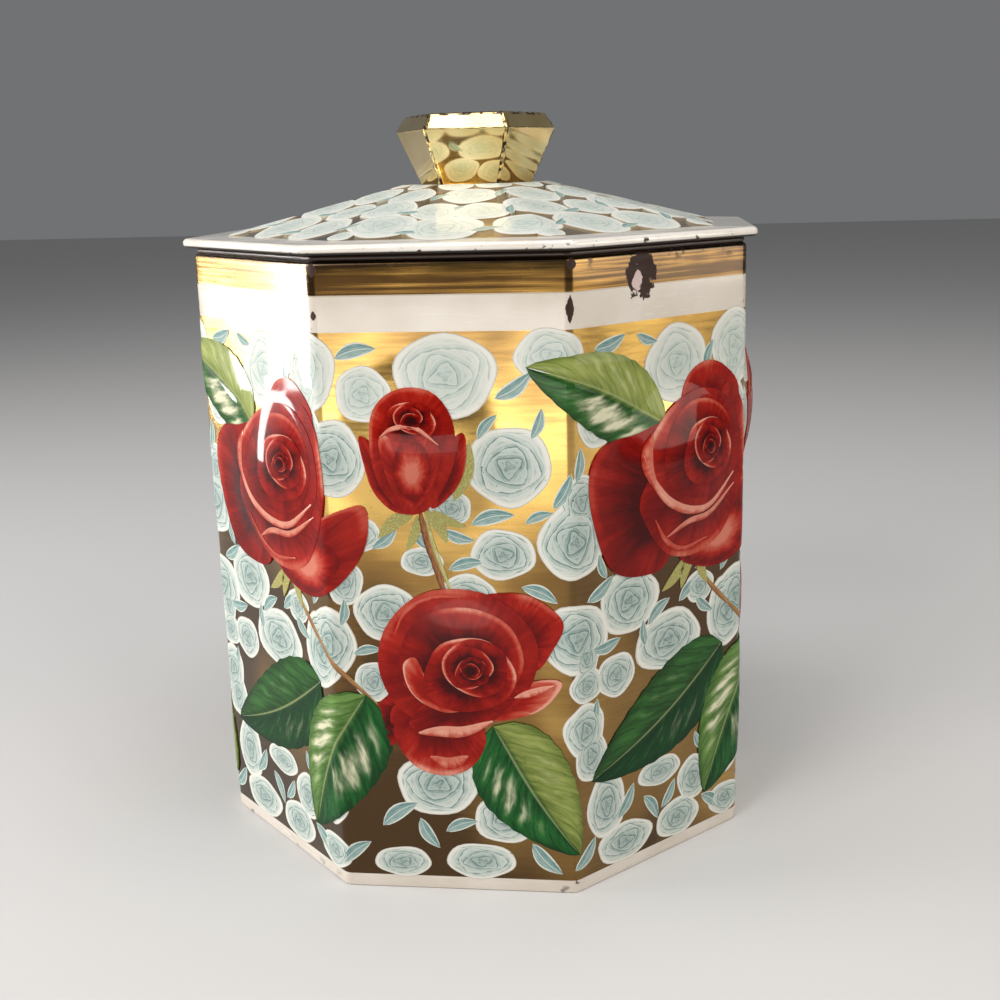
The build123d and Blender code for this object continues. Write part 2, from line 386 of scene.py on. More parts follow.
def larger(first, second):
    return sums("MAXIMUM", first, second)


def inverse(mask):
    """1 where a mask is 0, and 0 where it is 1."""
    return minus(1.0, mask)


def swing(pattern, amount):
    """Turns a pattern from 0 to 1 into a push both ways, as large as the amount."""
    return times(minus(pattern, 0.5), amount)


def split(where):
    """The x, y and z of a place."""
    return tuple(put(where.id_data, "ShaderNodeSeparateXYZ", where).outputs)


def combine(x, y, z):
    return put(tree_of(x, y, z), "ShaderNodeCombineXYZ", x, y, z).outputs[0]


def distance(where):
    """How far a place is from the origin."""
    return put(where.id_data, "ShaderNodeVectorMath", where, operation="LENGTH").outputs["Value"]


def stretch(where, scale):
    return put(where.id_data, "ShaderNodeMapping", where, None, None, scale).outputs[0]


def noise(where, scale, detail=2.0, roughness=0.5):
    node = put(where.id_data, "ShaderNodeTexNoise")
    for key, value in {"Vector": where, "Scale": scale, "Detail": detail, "Roughness": roughness}.items():
        feed(node.inputs[key], value)
    return node.outputs["Factor" if "Factor" in node.outputs else "Fac"]


def span(value, low, high, start=0.0, end=1.0):
    """Eases a value from start to end as it goes from low to high."""
    settings = {"interpolation_type": "SMOOTHSTEP"}
    return put(value.id_data, "ShaderNodeMapRange", value, low, high, start, end, **settings).outputs[0]


def blend_colours(mask, first, second):
    """From one colour to another; each is (red, green, blue) or a node's output."""
    node = put(mask.id_data, "ShaderNodeMix", data_type="RGBA")
    feed(node.inputs["Factor"], mask)
    for socket, colour in ((node.inputs[6], first), (node.inputs[7], second)):
        feed(socket, (*colour, 1) if isinstance(colour, tuple) else colour)
    return node.outputs[2]


def colour_steps(value, *steps):
    """A colour ramp: each step is (place, (red, green, blue))."""
    node = put(value.id_data, "ShaderNodeValToRGB", value)
    ramp = node.color_ramp
    while len(ramp.elements) < len(steps):
        ramp.elements.new(0.5)
    for element, (place, colour) in zip(ramp.elements, steps):
        element.position = place
        element.color = (*colour, 1)
    return node.outputs[0]


def object_place(tree):
    return put(tree, "ShaderNodeTexCoord").outputs["Object"]


def painted(tree, name):
    """A value that was written on the mesh."""
    return put(tree, "ShaderNodeAttribute", attribute_name=name).outputs["Fac"]


def new_material(name, **constants):
    """An empty material with its Principled shader, whose constant sockets are set directly."""
    material = bpy.data.materials.new(name)
    material.use_nodes = True
    shader = material.node_tree.nodes["Principled BSDF"]
    for key, value in constants.items():
        shader.inputs[key.replace("_", " ")].default_value = value
    return material, material.node_tree, shader


def effect(name, inputs, outputs):
    """A shader node group with named sockets: (tree, the inputs' values, the outputs' sockets)."""
    group = bpy.data.node_groups.new(name, "ShaderNodeTree")
    for label, kind in inputs.items():
        group.interface.new_socket(label, in_out="INPUT", socket_type=kind)
    for label, kind in outputs.items():
        group.interface.new_socket(label, in_out="OUTPUT", socket_type=kind)
    return group, group.nodes.new("NodeGroupInput").outputs, group.nodes.new("NodeGroupOutput").inputs


def use(tree, group, *values):
    """Places an effect in a material, with its own values."""
    node = put(tree, "ShaderNodeGroup", node_tree=group)
    for socket, value in zip(node.inputs, values):
        feed(socket, value)
    return node.outputs


# %% [markdown]
# ## Shared effects
# Three things happen to every finish on this tin: the varnish is not quite even, small specks of dirt and
# rust sit in it, and brush strokes run through the painted flowers. Each is a node group, so a change
# made once shows everywhere.

# %% Varnish, specks and brush strokes
FLOAT, VECTOR = "NodeSocketFloat", "NodeSocketVector"

varnish, (smooth, dull, *_), result = effect(
    "varnish", {"Smooth": FLOAT, "Dull": FLOAT}, {"Roughness": FLOAT, "Normal": VECTOR}
)
cloudy = noise(object_place(varnish), 60.0, 3.0)
smears = noise(stretch(object_place(varnish), (40, 40, 400)), 3.0, 4.0)
uneven = put(varnish, "ShaderNodeMapRange", times(cloudy, smears), 0.1, 0.45, smooth, dull)
feed(result[0], uneven.outputs[0])
dimples = put(varnish, "ShaderNodeBump")
for key, value in {"Strength": 0.12, "Distance": 0.0004, "Height": cloudy}.items():
    feed(dimples.inputs[key], value)
feed(result[1], dimples.outputs[0])

specks, (grain_size, amount, *_), result = effect("specks", {"Size": FLOAT, "Amount": FLOAT}, {"Mask": FLOAT})
grit = noise(object_place(specks), grain_size, 3.0, 0.7)
patches = noise(object_place(specks), 45.0, 2.0)
threshold = minus(0.78, times(amount, times(patches, 0.4)))
feed(result[0], span(minus(grit, threshold), 0.0, 0.03))

brush, (where, across, along, *_), result = effect(
    "brush", {"Where": VECTOR, "Across": FLOAT, "Along": FLOAT}, {"Strokes": FLOAT}
)
drawn_out = put(brush, "ShaderNodeVectorMath", where, combine(across, along, 1.0), operation="MULTIPLY")
feed(result[0], span(noise(drawn_out.outputs[0], 1.0, 3.0, 0.6), 0.3, 0.7))


def varnish_over(shader, smooth, dull, bare=None, rougher=0.4):
    """Gives a shader its uneven varnish; bare says where the varnish is gone, and it is rougher there."""
    finish = use(shader.id_data, varnish, smooth, dull)
    roughness = finish["Roughness"]
    if bare is not None:
        roughness = plus(roughness, times(bare, rougher))
    feed(shader.inputs["Roughness"], roughness)
    feed(shader.inputs["Normal"], finish["Normal"])


print("effects", [group.name for group in bpy.data.node_groups])

# %% [markdown]
# ## Gold lacquer and bare tin
# The lacquer is a transparent brown-gold film over bright tin. In Blender that is a metal with a deep
# gold colour, a thin clear coat and a little unevenness. It is darker in some patches than in others. The
# inside has the same lacquer, duller. The lid's underside and its collar are bare tin, and the collar is
# painted dark from the mouth up, as painted shade in the gap under the lid.

# %% Gold and tin finishes
GOLD_DEEP = (0.075, 0.038, 0.011)
GOLD_MIDDLE = (0.27, 0.15, 0.038)
GOLD_BRIGHT = (0.78, 0.5, 0.14)
KNOB_GOLD_DEEP = (0.82, 0.6, 0.24)
KNOB_GOLD_BRIGHT = (1.0, 0.84, 0.46)
TIN_DARK = (0.38, 0.36, 0.33)
TIN_LIGHT = (0.66, 0.65, 0.62)
TIN_STAIN = (0.3, 0.25, 0.19)
RUST_AND_SHADE_BROWN = (0.035, 0.016, 0.01)
COLLAR_SHADE_RISE = 0.4  # how far the painted shade on the collar takes to build up


def gold_colour(where, lighter, rolled):
    """Brown-gold with slow patches; lighter and rolled say where it is paler, and where lines show."""
    patches = noise(where, 22.0, 3.0)
    lines = noise(stretch(where, (25, 25, 1500)), 1.0, 3.0, 0.6)
    tone = plus(plus(patches, swing(lines, rolled)), lighter)
    return colour_steps(tone, (0.32, GOLD_DEEP), (0.5, GOLD_MIDDLE), (0.7, GOLD_BRIGHT))


def knob_gold():
    """Bright gold, worn through in ragged lines along the edges."""
    material, tree, shader = new_material("knob_gold", Metallic=1.0, Coat_Weight=0.4, Coat_Roughness=0.04)
    where = object_place(tree)
    gold = colour_steps(noise(where, 70.0, 2.0), (0.35, KNOB_GOLD_DEEP), (0.65, KNOB_GOLD_BRIGHT))
    worn = span(painted(tree, "edge"), 0.55, 1.0)
    ragged = times(worn, span(noise(where, 700.0, 3.0), 0.4, 0.58))
    marks = larger(ragged, use(tree, specks, 1200.0, 0.45)["Mask"])
    feed(shader.inputs["Base Color"], blend_colours(marks, gold, RUST_AND_SHADE_BROWN))
    varnish_over(shader, 0.05, 0.14, marks, 0.5)
    return material


def bare_tin(name, shaded_above=None):
    """Crystalline grey metal with stains; a height in millimetres adds painted shade from there up."""
    material, tree, shader = new_material(name, Metallic=1.0)
    where = object_place(tree)
    crystals = put(tree, "ShaderNodeTexVoronoi")
    feed(crystals.inputs["Vector"], where)
    feed(crystals.inputs["Scale"], 160.0)
    grain = noise(stretch(where, (60, 60, 900)), 1.0, 3.0)
    tone = plus(times(crystals.outputs["Distance"], 0.5), grain)
    grey = colour_steps(tone, (0.35, TIN_DARK), (0.9, TIN_LIGHT))
    stains = span(noise(where, 35.0, 4.0), 0.55, 0.75)
    grey = blend_colours(stains, grey, TIN_STAIN)
    marks = use(tree, specks, 900.0, 0.75)["Mask"]
    if shaded_above is not None:
        # Painted shade: from the mouth up, the collar is painted dark and not metal.
        collar_shade = span(split(where)[2], (shaded_above - COLLAR_SHADE_RISE) * MM, shaded_above * MM)
        marks = larger(marks, collar_shade)
        feed(shader.inputs["Metallic"], inverse(collar_shade))
    feed(shader.inputs["Base Color"], blend_colours(marks, grey, RUST_AND_SHADE_BROWN))
    varnish_over(shader, 0.25, 0.5)
    return material


def lacquered_inside():
    """The plain gold lacquer of the inside: duller than the outside, with specks of rust."""
    material, tree, shader = new_material(
        "lacquered_inside", Metallic=1.0, Coat_Weight=0.25, Coat_Roughness=0.12
    )
    marks = use(tree, specks, 1000.0, 0.7)["Mask"]
    gold = gold_colour(object_place(tree), 0.08, 0.25)
    feed(shader.inputs["Base Color"], blend_colours(marks, gold, RUST_AND_SHADE_BROWN))
    varnish_over(shader, 0.22, 0.4, marks)
    return material


knob_finish = knob_gold()
tin_finish = bare_tin("bare_tin")
collar_finish = bare_tin("bare_tin_collar", HEIGHT)
inside_finish = lacquered_inside()

# %% [markdown]
# ## The printed wall
# From the top: a gold band, a cream band, the gold ground that the flowers are printed on, and a cream
# line at the foot. The bands are steps in height, so one material does all four. Its metal share follows
# the same steps: gold is metal under varnish, and cream is enamel. Chips are ragged diamonds in space,
# placed where a knock would take the lacquer off: along the corners and on the top band.

# %% The wall's finish
BAND_GOLD = 126.6  # the gold band's lower edge
BAND_CREAM = 119.5  # the cream band's lower edge
BAND_FOOT = 3.0  # the cream foot line's upper edge
BAND_LINE = 0.25  # the brown line printed under the gold band
LIP_SHADE_FROM = HEIGHT - 0.9  # painted shade on the curl of the mouth, under the lid's rim
# Painted light: the gold ground is painted darker towards the bottom and paler up the wall.
GROUND_SHADE_BELOW, GROUND_LIGHT_ABOVE = 45, 108  # the gold ground grows paler between these heights
CREAM, CREAM_GRIMY = (0.665, 0.605, 0.535), (0.57, 0.5, 0.42)
LINE_BROWN = (0.35, 0.27, 0.16)
LIP_SHADE_BROWN = (0.07, 0.045, 0.025)
CHIP_RUST, CHIP_BARE = (0.03, 0.01, 0.005), (0.6, 0.47, 0.44)

# Each chip is (side, along it, up, half width, half height, raggedness), in millimetres.
CHIPS = [
    (1, 0.2, 123.5, 0.8, 2.4, 1.8), (0, 0.1, 122.6, 0.7, 1.0, 1.8), (0, 0.3, 131.5, 0.9, 1.6, 1.8),
    (1, 0.6, 131.8, 0.9, 1.2, 1.8), (5, 0.2, 90, 0.8, 2.0, 1.8), (3, 0.1, 60, 0.8, 2.6, 1.8),
    (1, 19, 129, 4.6, 5.0, 2.2),
]
BARE_CHIP = (1, 17.8, 127.6, 1.3, 2.6, 3.2)  # the metal that shows inside the large chip


def above(height, level, soft=0.05):
    """1 above a level, in millimetres, and 0 below it."""
    return span(height, (level - soft) * MM, (level + soft) * MM)


def cream_colour(where, clean, grimy):
    return colour_steps(noise(where, 90.0, 4.0), (0.3, clean), (0.75, grimy))


def chip(where, side, along, up, wide, tall, ragged):
    """1 inside a ragged diamond round a place on the wall."""
    place = bend_round(np.array([side * FACE + along]), np.array([float(up)]), np.zeros(1))[0]
    off = put(where.id_data, "ShaderNodeVectorMath", where, tuple(place), operation="SUBTRACT").outputs[0]
    x, y, z = split(off)
    across = sums("DIVIDE", sums("SQRT", plus(times(x, x), times(y, y))), wide * MM)
    upright = sums("DIVIDE", sums("ABSOLUTE", z), tall * MM)
    reach = sums("POWER", plus(sums("POWER", across, 1.3), sums("POWER", upright, 1.3)), 0.77)
    rough_edge = swing(noise(where, 380.0, 4.0, 0.6), ragged)
    return span(plus(reach, rough_edge), 0.96, 1.04, 1.0, 0.0)


def printed_wall():
    material, tree, shader = new_material("printed_wall", Coat_Roughness=0.06, Specular_IOR_Level=0.35)
    where = object_place(tree)
    height = split(where)[2]
    ground = times(above(height, BAND_FOOT), inverse(above(height, BAND_CREAM)))
    top_band = above(height, BAND_GOLD)
    gold = larger(ground, top_band)
    # Painted light: the gold is darker low on the wall, paler higher up, and darker again on the top band.
    lighter = span(height, GROUND_SHADE_BELOW * MM, GROUND_LIGHT_ABOVE * MM, -0.14, 0.12)
    lighter = minus(lighter, times(top_band, 0.22))
    rolled = plus(0.08, times(top_band, 0.75))
    cream = cream_colour(where, CREAM, CREAM_GRIMY)
    colour = blend_colours(gold, cream, gold_colour(where, lighter, rolled))
    line = times(above(height, BAND_GOLD - BAND_LINE), inverse(top_band))
    colour = blend_colours(times(line, 0.6), colour, LINE_BROWN)
    # Painted shade: the mouth's curl is painted dark brown where it sits under the lid's rim.
    lip_shade = times(above(height, LIP_SHADE_FROM, 0.4), 0.75)
    colour = blend_colours(lip_shade, colour, LIP_SHADE_BROWN)
    worn = times(painted(tree, "edge"), span(noise(where, 300.0, 4.0), 0.62, 0.7))
    marks = larger(worn, use(tree, specks, 1300.0, 0.35)["Mask"])
    for place in CHIPS:
        marks = larger(marks, chip(where, *place))
    rust = blend_colours(chip(where, *BARE_CHIP), CHIP_RUST, CHIP_BARE)
    feed(shader.inputs["Base Color"], blend_colours(marks, colour, rust))
    sound = inverse(marks)
    feed(shader.inputs["Metallic"], times(gold, sound))
    feed(shader.inputs["Coat Weight"], times(sound, span(gold, 0.0, 1.0, 0.6, 0.4)))
    varnish_over(shader, 0.14, 0.34, marks)
    return material


wall_finish = printed_wall()
print("chips", len(CHIPS))

# %% [markdown]
# ## The wall itself
# On the real tin this is one sheet: the top edge is curled inwards to hide the cut, and the bottom edge is
# folded under to hold the base. It could be modelled as an eight-sided tube and bevelled, but then the
# embossing and the print would need their own way round the corners. Starting from a flat grid and
# bending it is closer to how it is made: rows follow the sheet's edge profile, columns go round.

# %% Wall sheet
FLAT_COLUMNS = 24
BEND_COLUMNS = 6
WALL_ROWS = 65
BEND_WEAR = 1.3  # wear round a bend fades out at this many times its reach
EDGE_WEAR = 1.5  # and this far from the sheet's top and bottom


def columns():
    """Where the grid's columns stand along the sheet, closer together in the bends."""
    flat = np.linspace(BEND_REACH, FACE - BEND_REACH, FLAT_COLUMNS + 1)
    bend = np.linspace(FACE - BEND_REACH, FACE + BEND_REACH, BEND_COLUMNS + 1)[1:-1]
    one = np.concatenate([flat, bend])
    return np.concatenate([one + FACE * n for n in range(SIDES)] + [[BEND_REACH + FACE * SIDES]])


def wall_profile():
    """(out, up) down the sheet: curl, wall, fold under the foot and the folded-in leg."""
    curl = arc((-MOUTH_CURL, HEIGHT - MOUTH_CURL), MOUTH_CURL, 250, 0, 14)
    wall = [(0, up) for up in np.linspace(HEIGHT - MOUTH_CURL, FOOT_BEND, WALL_ROWS + 1)[1:-1]]
    fold = arc((-FOOT_BEND, FOOT_BEND), FOOT_BEND, 0, -90, 4)
    back = arc((FOOT_BEND - FOOT_WIDTH, FOOT_BEND), FOOT_BEND, -90, -180, 4)
    return curl + wall + fold + back + [(-FOOT_WIDTH, FOOT_LEG)]


def wall_sheet():
    across, profile = columns(), np.array(wall_profile())
    rows = len(profile) - 1
    bpy.ops.mesh.primitive_grid_add(x_subdivisions=len(across) - 1, y_subdivisions=rows, size=2)
    sheet = bpy.context.object
    flat = read_points(sheet)
    column = np.rint((flat[:, 0] + 1) / 2 * (len(across) - 1)).astype(int)
    row = np.rint((1 - flat[:, 1]) / 2 * rows).astype(int)
    along, out, up = across[column], profile[row, 0], profile[row, 1]
    out = np.where(out == 0, embossing(along, up), out)
    write_points(sheet, bend_round(along, up, out))
    from_corner = np.abs((along + FACE / 2) % FACE - FACE / 2)
    near_bend = np.clip(BEND_WEAR - from_corner / BEND_REACH, 0, 1)
    near_edge = np.clip(1 - np.minimum(up, HEIGHT - up) / EDGE_WEAR, 0, 1)
    write_value(sheet.data, "edge", np.maximum(near_bend, near_edge))
    face_outwards(sheet)
    thicken(sheet, SHEET, inner_slot=1)
    smooth_below(35)
    return sheet


wall = finish_piece(wall_sheet(), "tin_wall", "canister", "printed_tin", wall_finish, inside_finish)
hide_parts("body_wall")

# %% [markdown]
# ## The side seam
# The sheet's two ends hook into each other and are pressed flat: a lock seam, which shows on the inside as
# a low rounded strip. A cylinder is stretched to the strip's outline on the flat sheet, with its ends
# eased in, and then follows the wall through the same bend function.

# %% Side seam
SEAM_FACE, SEAM_MIDDLE, SEAM_HALF_WIDTH, SEAM_HALF_DEPTH = 3, 5.0, 2.0, 0.3
SEAM_LOW, SEAM_HIGH = 5.2, 128.4
SEAM_EASE = 0.004  # in the cylinder's own units, before it is stretched
SEAM_FLATNESS = 0.6  # 1 is round, and less is flatter


def side_seam():
    bpy.ops.object.select_all(action="DESELECT")
    bpy.ops.mesh.primitive_cylinder_add(vertices=24, radius=1, depth=2, end_fill_type="NGON")
    seam = bpy.context.object

    def ease_ends():
        pick(lambda: seam.data.edges, lambda e: abs(sum(end.z for end in edge_ends(seam, e))) > 1.9)
        bpy.ops.mesh.bevel(offset=SEAM_EASE, segments=2, affect="EDGES")

    edit(ease_ends, "EDGE")
    flat = read_points(seam)
    along = SEAM_FACE * FACE + SEAM_MIDDLE + SEAM_HALF_WIDTH * flat[:, 0]
    depth = np.sign(flat[:, 1]) * np.abs(flat[:, 1]) ** SEAM_FLATNESS
    out = -SHEET - SEAM_HALF_DEPTH + SEAM_HALF_DEPTH * depth
    up = (SEAM_LOW + SEAM_HIGH) / 2 + (SEAM_HIGH - SEAM_LOW) / 2 * flat[:, 2]
    write_points(seam, bend_round(along, up, out))
    smooth_below(40)
    return finish_piece(seam, "side_seam", "canister", "gold_lacquer", inside_finish)


side_seam()

# %% [markdown]
# ## The lid
# The lid is one pressed sheet: a small flat top, eight slopes, a flat border and a curled rim. Working by
# hand, one starts with the eight-sided top, then extrudes its edge outwards again and again: down the
# slope, across the border, and round the curl. The eight ridges are bevelled last.

# %% Lid shell
LID_CURL_STEPS = 18
RIDGE_SOFT = 1.1
RIVET_HOLE = 2.1
CORNER = 1 / cos(TURN / 2)  # from half the flats to a corner


def lid_stations():
    """(half across the flats, height) from the top platform out to the end of the curl."""
    curl = arc((RIM_HALF - RIM_CURL, LID_TOP - RIM_CURL), RIM_CURL, 90, -180, LID_CURL_STEPS)
    tail = [(RIM_HALF - 2 * RIM_CURL, LID_TOP - RIM_CURL + 0.3)]
    return [(ROOF_TOP_HALF, ROOF_TOP), (ROOF_HALF, LID_TOP)] + curl + tail


def add_polygon(sides, half, height, turned):
    """A filled polygon, half across its flats, in millimetres."""
    bpy.ops.object.select_all(action="DESELECT")
    bpy.ops.mesh.primitive_circle_add(vertices=sides, radius=half / cos(pi / sides) * MM, fill_type="NGON")
    piece = bpy.context.object
    for v in piece.data.vertices:
        angle = atan2(v.co.y, v.co.x) + turned
        reach = hypot(v.co.x, v.co.y)
        v.co = (reach * cos(angle), reach * sin(angle), height * MM)
    return piece


def flare(half, new_half, rise):
    """Extrudes the selected outline and moves it to a new half width and height."""
    bpy.ops.mesh.extrude_region_move(TRANSFORM_OT_translate={"value": (0, 0, rise * MM)})
    grow = new_half / half
    bpy.ops.transform.resize(value=(grow, grow, 1), center_override=(0, 0, 0))


def punch_hole(piece, half, hole):
    """Cuts the middle out of a polygon, and leaves its outline selected."""
    bpy.ops.mesh.select_all(action="SELECT")
    bpy.ops.mesh.inset(thickness=(half - hole) * MM)
    bpy.ops.mesh.delete(type="FACE")
    pick(lambda: piece.data.vertices, lambda v: v.co.xy.length > half * MM)


def lid_shell():
    stations = lid_stations()
    lid = add_polygon(SIDES, *stations[0], TURN / 2)

    def press_out():
        punch_hole(lid, ROOF_TOP_HALF, RIVET_HOLE)
        for (half, height), (new_half, new_height) in zip(stations, stations[1:]):
            flare(half, new_half, new_height - height)

    def along_ridge(e):
        a, b = edge_ends(lid, e)
        turn = abs(atan2(a.y, a.x) - atan2(b.y, b.x))
        off_hole = min(a.xy.length, b.xy.length) > (RIVET_HOLE + 1) * CORNER * MM
        return off_hole and min(turn, 2 * pi - turn) < 0.01

    edit(press_out)
    edit(make_consistent)
    top = [f for f in lid.data.polygons if f.center.z > (LID_TOP + 1) * MM]
    if sum(f.normal.z for f in top) < 0:
        lid.data.flip_normals()
    bevel_where(lid, RIDGE_SOFT, 4, along_ridge)
    thicken(lid, SHEET, inner_slot=1)
    smooth_below(30)
    return lid


# %% [markdown]
# The lid's finish follows the wall's: gold on the slopes, cream on the border and the rim. The rim is what
# gets knocked, so the enamel is chipped low on its curl. Under the curl the metal is painted almost black,
# as painted shade, and has no clear coat.

# %% The lid's finish
# Painted light: the lid's cream is paler than the wall's, as the lid takes the light from above.
LID_CREAM, LID_CREAM_GRIMY = (0.8, 0.76, 0.7), (0.68, 0.62, 0.54)
# Painted shade: the underside of the rim's curl is painted almost black.
UNDER_CURL_SHADE = (0.02, 0.016, 0.013)


def printed_lid():
    """Gold slopes, a cream border and rim with chips low on the rim, and painted shade under the curl."""
    material, tree, shader = new_material("printed_lid", Coat_Roughness=0.06)
    where = object_place(tree)
    height = split(where)[2]
    slope = above(height, LID_TOP + 0.25, 0.06)
    # Painted shade: below this height the curl is almost black and has no clear coat.
    under = inverse(above(height, LID_TOP - 1.5, 0.15))
    cream = cream_colour(where, LID_CREAM, LID_CREAM_GRIMY)
    colour = blend_colours(slope, cream, gold_colour(where, 0.1, 0.1))
    colour = blend_colours(under, colour, UNDER_CURL_SHADE)
    low = inverse(above(height, LID_TOP - 0.6, 0.3))
    chips = times(low, span(noise(where, 420.0, 4.0), 0.61, 0.67))
    marks = larger(chips, use(tree, specks, 1300.0, 0.5)["Mask"])
    feed(shader.inputs["Base Color"], blend_colours(marks, colour, RUST_AND_SHADE_BROWN))
    feed(shader.inputs["Metallic"], times(slope, inverse(marks)))
    bare = larger(marks, under)
    feed(shader.inputs["Coat Weight"], span(bare, 0.0, 1.0, 0.7, 0.0))
    varnish_over(shader, 0.14, 0.34, bare, 0.45)
    return material


lid_finish = printed_lid()
lid = finish_piece(lid_shell(), "lid_shell", "lid", "printed_tin", lid_finish, tin_finish)
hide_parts("lid_panel")

# %% [markdown]
# ## The knob
# The knob is two hollow pressings: a flared six-sided cup, and a bevelled cap that sits on its mouth. The
# line where they meet shows as a dark crease. Both start as a hexagon that is extruded, resized and
# inset. A thin inset on every facet gives the edges their own strip of faces, and that strip carries the
# worn edge.

# %% Knob cup and cap
KNOB_SIDES = 6
KNOB_SHEET = 0.4
cup_low, cup_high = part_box("knob_cup")
CUP_FOOT, CUP_MOUTH = cup_low.z / MM, cup_high.z / MM
CUP_FOOT_HALF, CUP_MOUTH_HALF = 11.2, cup_high.y / MM
CAP_FOOT = CUP_MOUTH + 0.05  # a hair above the cup, so the crease between them stays open
CAP_TOP, CAP_TOP_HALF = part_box("knob_cap")[1].z / MM, 14.0
CAP_SKIRT, CAP_SKIRT_GAP = 1.4, 0.7
CUP_EDGE_SOFT, CAP_EDGE_SOFT = 0.45, 0.7
CUP_FACET, CAP_FACET = 60, 25  # facets larger than this, in square millimetres, get a worn strip
EDGE_STRIP = 0.35


def strip_facets(piece, smallest):
    """Insets every large facet a little, and writes 1 on the strips and 0 inside the facets."""
    def inset_facets():
        pick(lambda: piece.data.polygons, lambda f: f.area > smallest * MM * MM)
        bpy.ops.mesh.inset(thickness=EDGE_STRIP * MM, use_individual=True)

    edit(inset_facets, "FACE")
    inner = {i for f in piece.data.polygons if f.area > smallest * MM * MM for i in f.vertices}
    write_value(piece.data, "edge", [0.0 if i in inner else 1.0 for i in range(len(piece.data.vertices))])


def knob_cup():
    cup = add_polygon(KNOB_SIDES, CUP_FOOT_HALF, CUP_FOOT, pi / KNOB_SIDES)

    def draw_up():
        punch_hole(cup, CUP_FOOT_HALF, RIVET_HOLE)
        flare(CUP_FOOT_HALF, CUP_MOUTH_HALF, CUP_MOUTH - CUP_FOOT)

    def is_upright(e):
        a, b = edge_ends(cup, e)
        return abs(a.z - b.z) > 1.5 * MM and min(a.xy.length, b.xy.length) > 6 * MM

    edit(draw_up)
    face_outwards(cup)
    bevel_where(cup, CUP_EDGE_SOFT, 3, is_upright)
    strip_facets(cup, CUP_FACET)
    thicken(cup, KNOB_SHEET)
    smooth_below(25)
    return cup


def knob_cap():
    skirt_half = CUP_MOUTH_HALF - KNOB_SHEET - CAP_SKIRT_GAP
    cap = add_polygon(KNOB_SIDES, CUP_MOUTH_HALF, CAP_FOOT, pi / KNOB_SIDES)

    def raise_sides():
        bpy.ops.mesh.select_all(action="SELECT")
        flare(CUP_MOUTH_HALF, CAP_TOP_HALF, CAP_TOP - CAP_FOOT)

    def hollow():
        pick(lambda: cap.data.polygons, lambda f: f.normal.z < -0.9)
        bpy.ops.mesh.inset(thickness=(CUP_MOUTH_HALF - skirt_half) * MM)
        bpy.ops.mesh.extrude_region_move(TRANSFORM_OT_translate={"value": (0, 0, -CAP_SKIRT * MM)})
        bpy.ops.mesh.inset(thickness=KNOB_SHEET * MM)
        bpy.ops.mesh.extrude_region_move(TRANSFORM_OT_translate={"value": (0, 0, CAP_SKIRT * MM)})
        flare(skirt_half - KNOB_SHEET, CAP_TOP_HALF - 2 * KNOB_SHEET, CAP_TOP - CAP_FOOT - KNOB_SHEET)

    def is_outer(e):
        a, b = edge_ends(cap, e)
        above_foot = min(a.z, b.z) > (CAP_FOOT - 0.01) * MM and max(a.z, b.z) > (CAP_FOOT + 1) * MM
        return above_foot and min(a.xy.length, b.xy.length) > CAP_TOP_HALF * MM

    edit(raise_sides, "FACE")
    edit(make_consistent)
    edit(hollow, "FACE")
    bevel_where(cap, CAP_EDGE_SOFT, 4, is_outer)
    strip_facets(cap, CAP_FACET)
    smooth_below(25)
    return cap


cup = finish_piece(knob_cup(), "knob_cup_gold", "lid", "gold_lacquer", knob_finish)
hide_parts("knob_cup")
cap = finish_piece(knob_cap(), "knob_cap_gold", "lid", "gold_lacquer", knob_finish)
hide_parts("knob_cap")


# %% [markdown]
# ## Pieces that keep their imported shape
# The base plate, the collar, the rivet and its washer already have the right shape, so they only get a
# finish: the lacquer of the inside on the plate, and bare tin on the rest.

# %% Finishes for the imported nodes
PACKED_FINISHES = {
    "base_plate": inside_finish,
    "lid_collar": collar_finish,
    "knob_rivet": tin_finish,
    "knob_washer": tin_finish,
}
for name, finish in PACKED_FINISHES.items():
    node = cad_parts[name]
    node.data.materials.clear()
    node.data.materials.append(finish)
    print(name, finish.name)

# %% [markdown]
# ## Printing: flat shapes
# Every printed shape starts as one of two simple meshes. A disc of rings is a circle that is inset again
# and again: blossoms and petals use it. A plain grid suits what has a length: leaves, stems and the turned
# lips of petals. Drawing them as meshes, not as one big pattern of nodes, gives each petal its own edge
# and its own shading, and leaves a fine relief that catches the light like embossed print.

# %% Disc and grid templates
def take_flat(piece):
    """Reads a flat mesh as (points in x and y, faces) and removes it."""
    points = np.array([v.co[:2] for v in piece.data.vertices])
    faces = [tuple(f.vertices) for f in piece.data.polygons]
    bpy.data.meshes.remove(piece.data)
    return points, faces


def ringed_disc(spokes, rings):
    """A disc of radius 1 with rings at the given radii, largest first, and a fan in the middle."""
    bpy.ops.mesh.primitive_circle_add(vertices=spokes, radius=1, fill_type="NGON")
    disc = bpy.context.object

    def add_rings():
        bpy.ops.mesh.select_all(action="SELECT")
        for outer, inner in zip((1.0, *rings), rings):
            bpy.ops.mesh.inset(thickness=(outer - inner) * cos(pi / spokes))
        bpy.ops.mesh.poke()

    edit(add_rings, "FACE")
    return take_flat(disc)


def plain_grid(across, along):
    """A grid from -1 to 1 both ways."""
    bpy.ops.mesh.primitive_grid_add(x_subdivisions=across, y_subdivisions=along, size=2)
    return take_flat(bpy.context.object)


BLOSSOM_DISC = ringed_disc(28, (0.6,))
PETAL_DISC = ringed_disc(40, (0.96, 0.9, 0.82, 0.7, 0.52, 0.3))
LEAFLET_GRID = plain_grid(4, 8)
LEAF_GRID = plain_grid(16, 26)
LIP_GRID = plain_grid(4, 22)
print("petal disc", len(PETAL_DISC[0]), "points")


# %% [markdown]
# A shape is kept as plain arrays: where its points lie on the sheet, how high each is lifted off it, its
# own drawing coordinates, and a tone from dark to light. The tone is how a flower painter thinks: dark in
# the fold, full colour on the petal, and a pale line where the rim turns over.

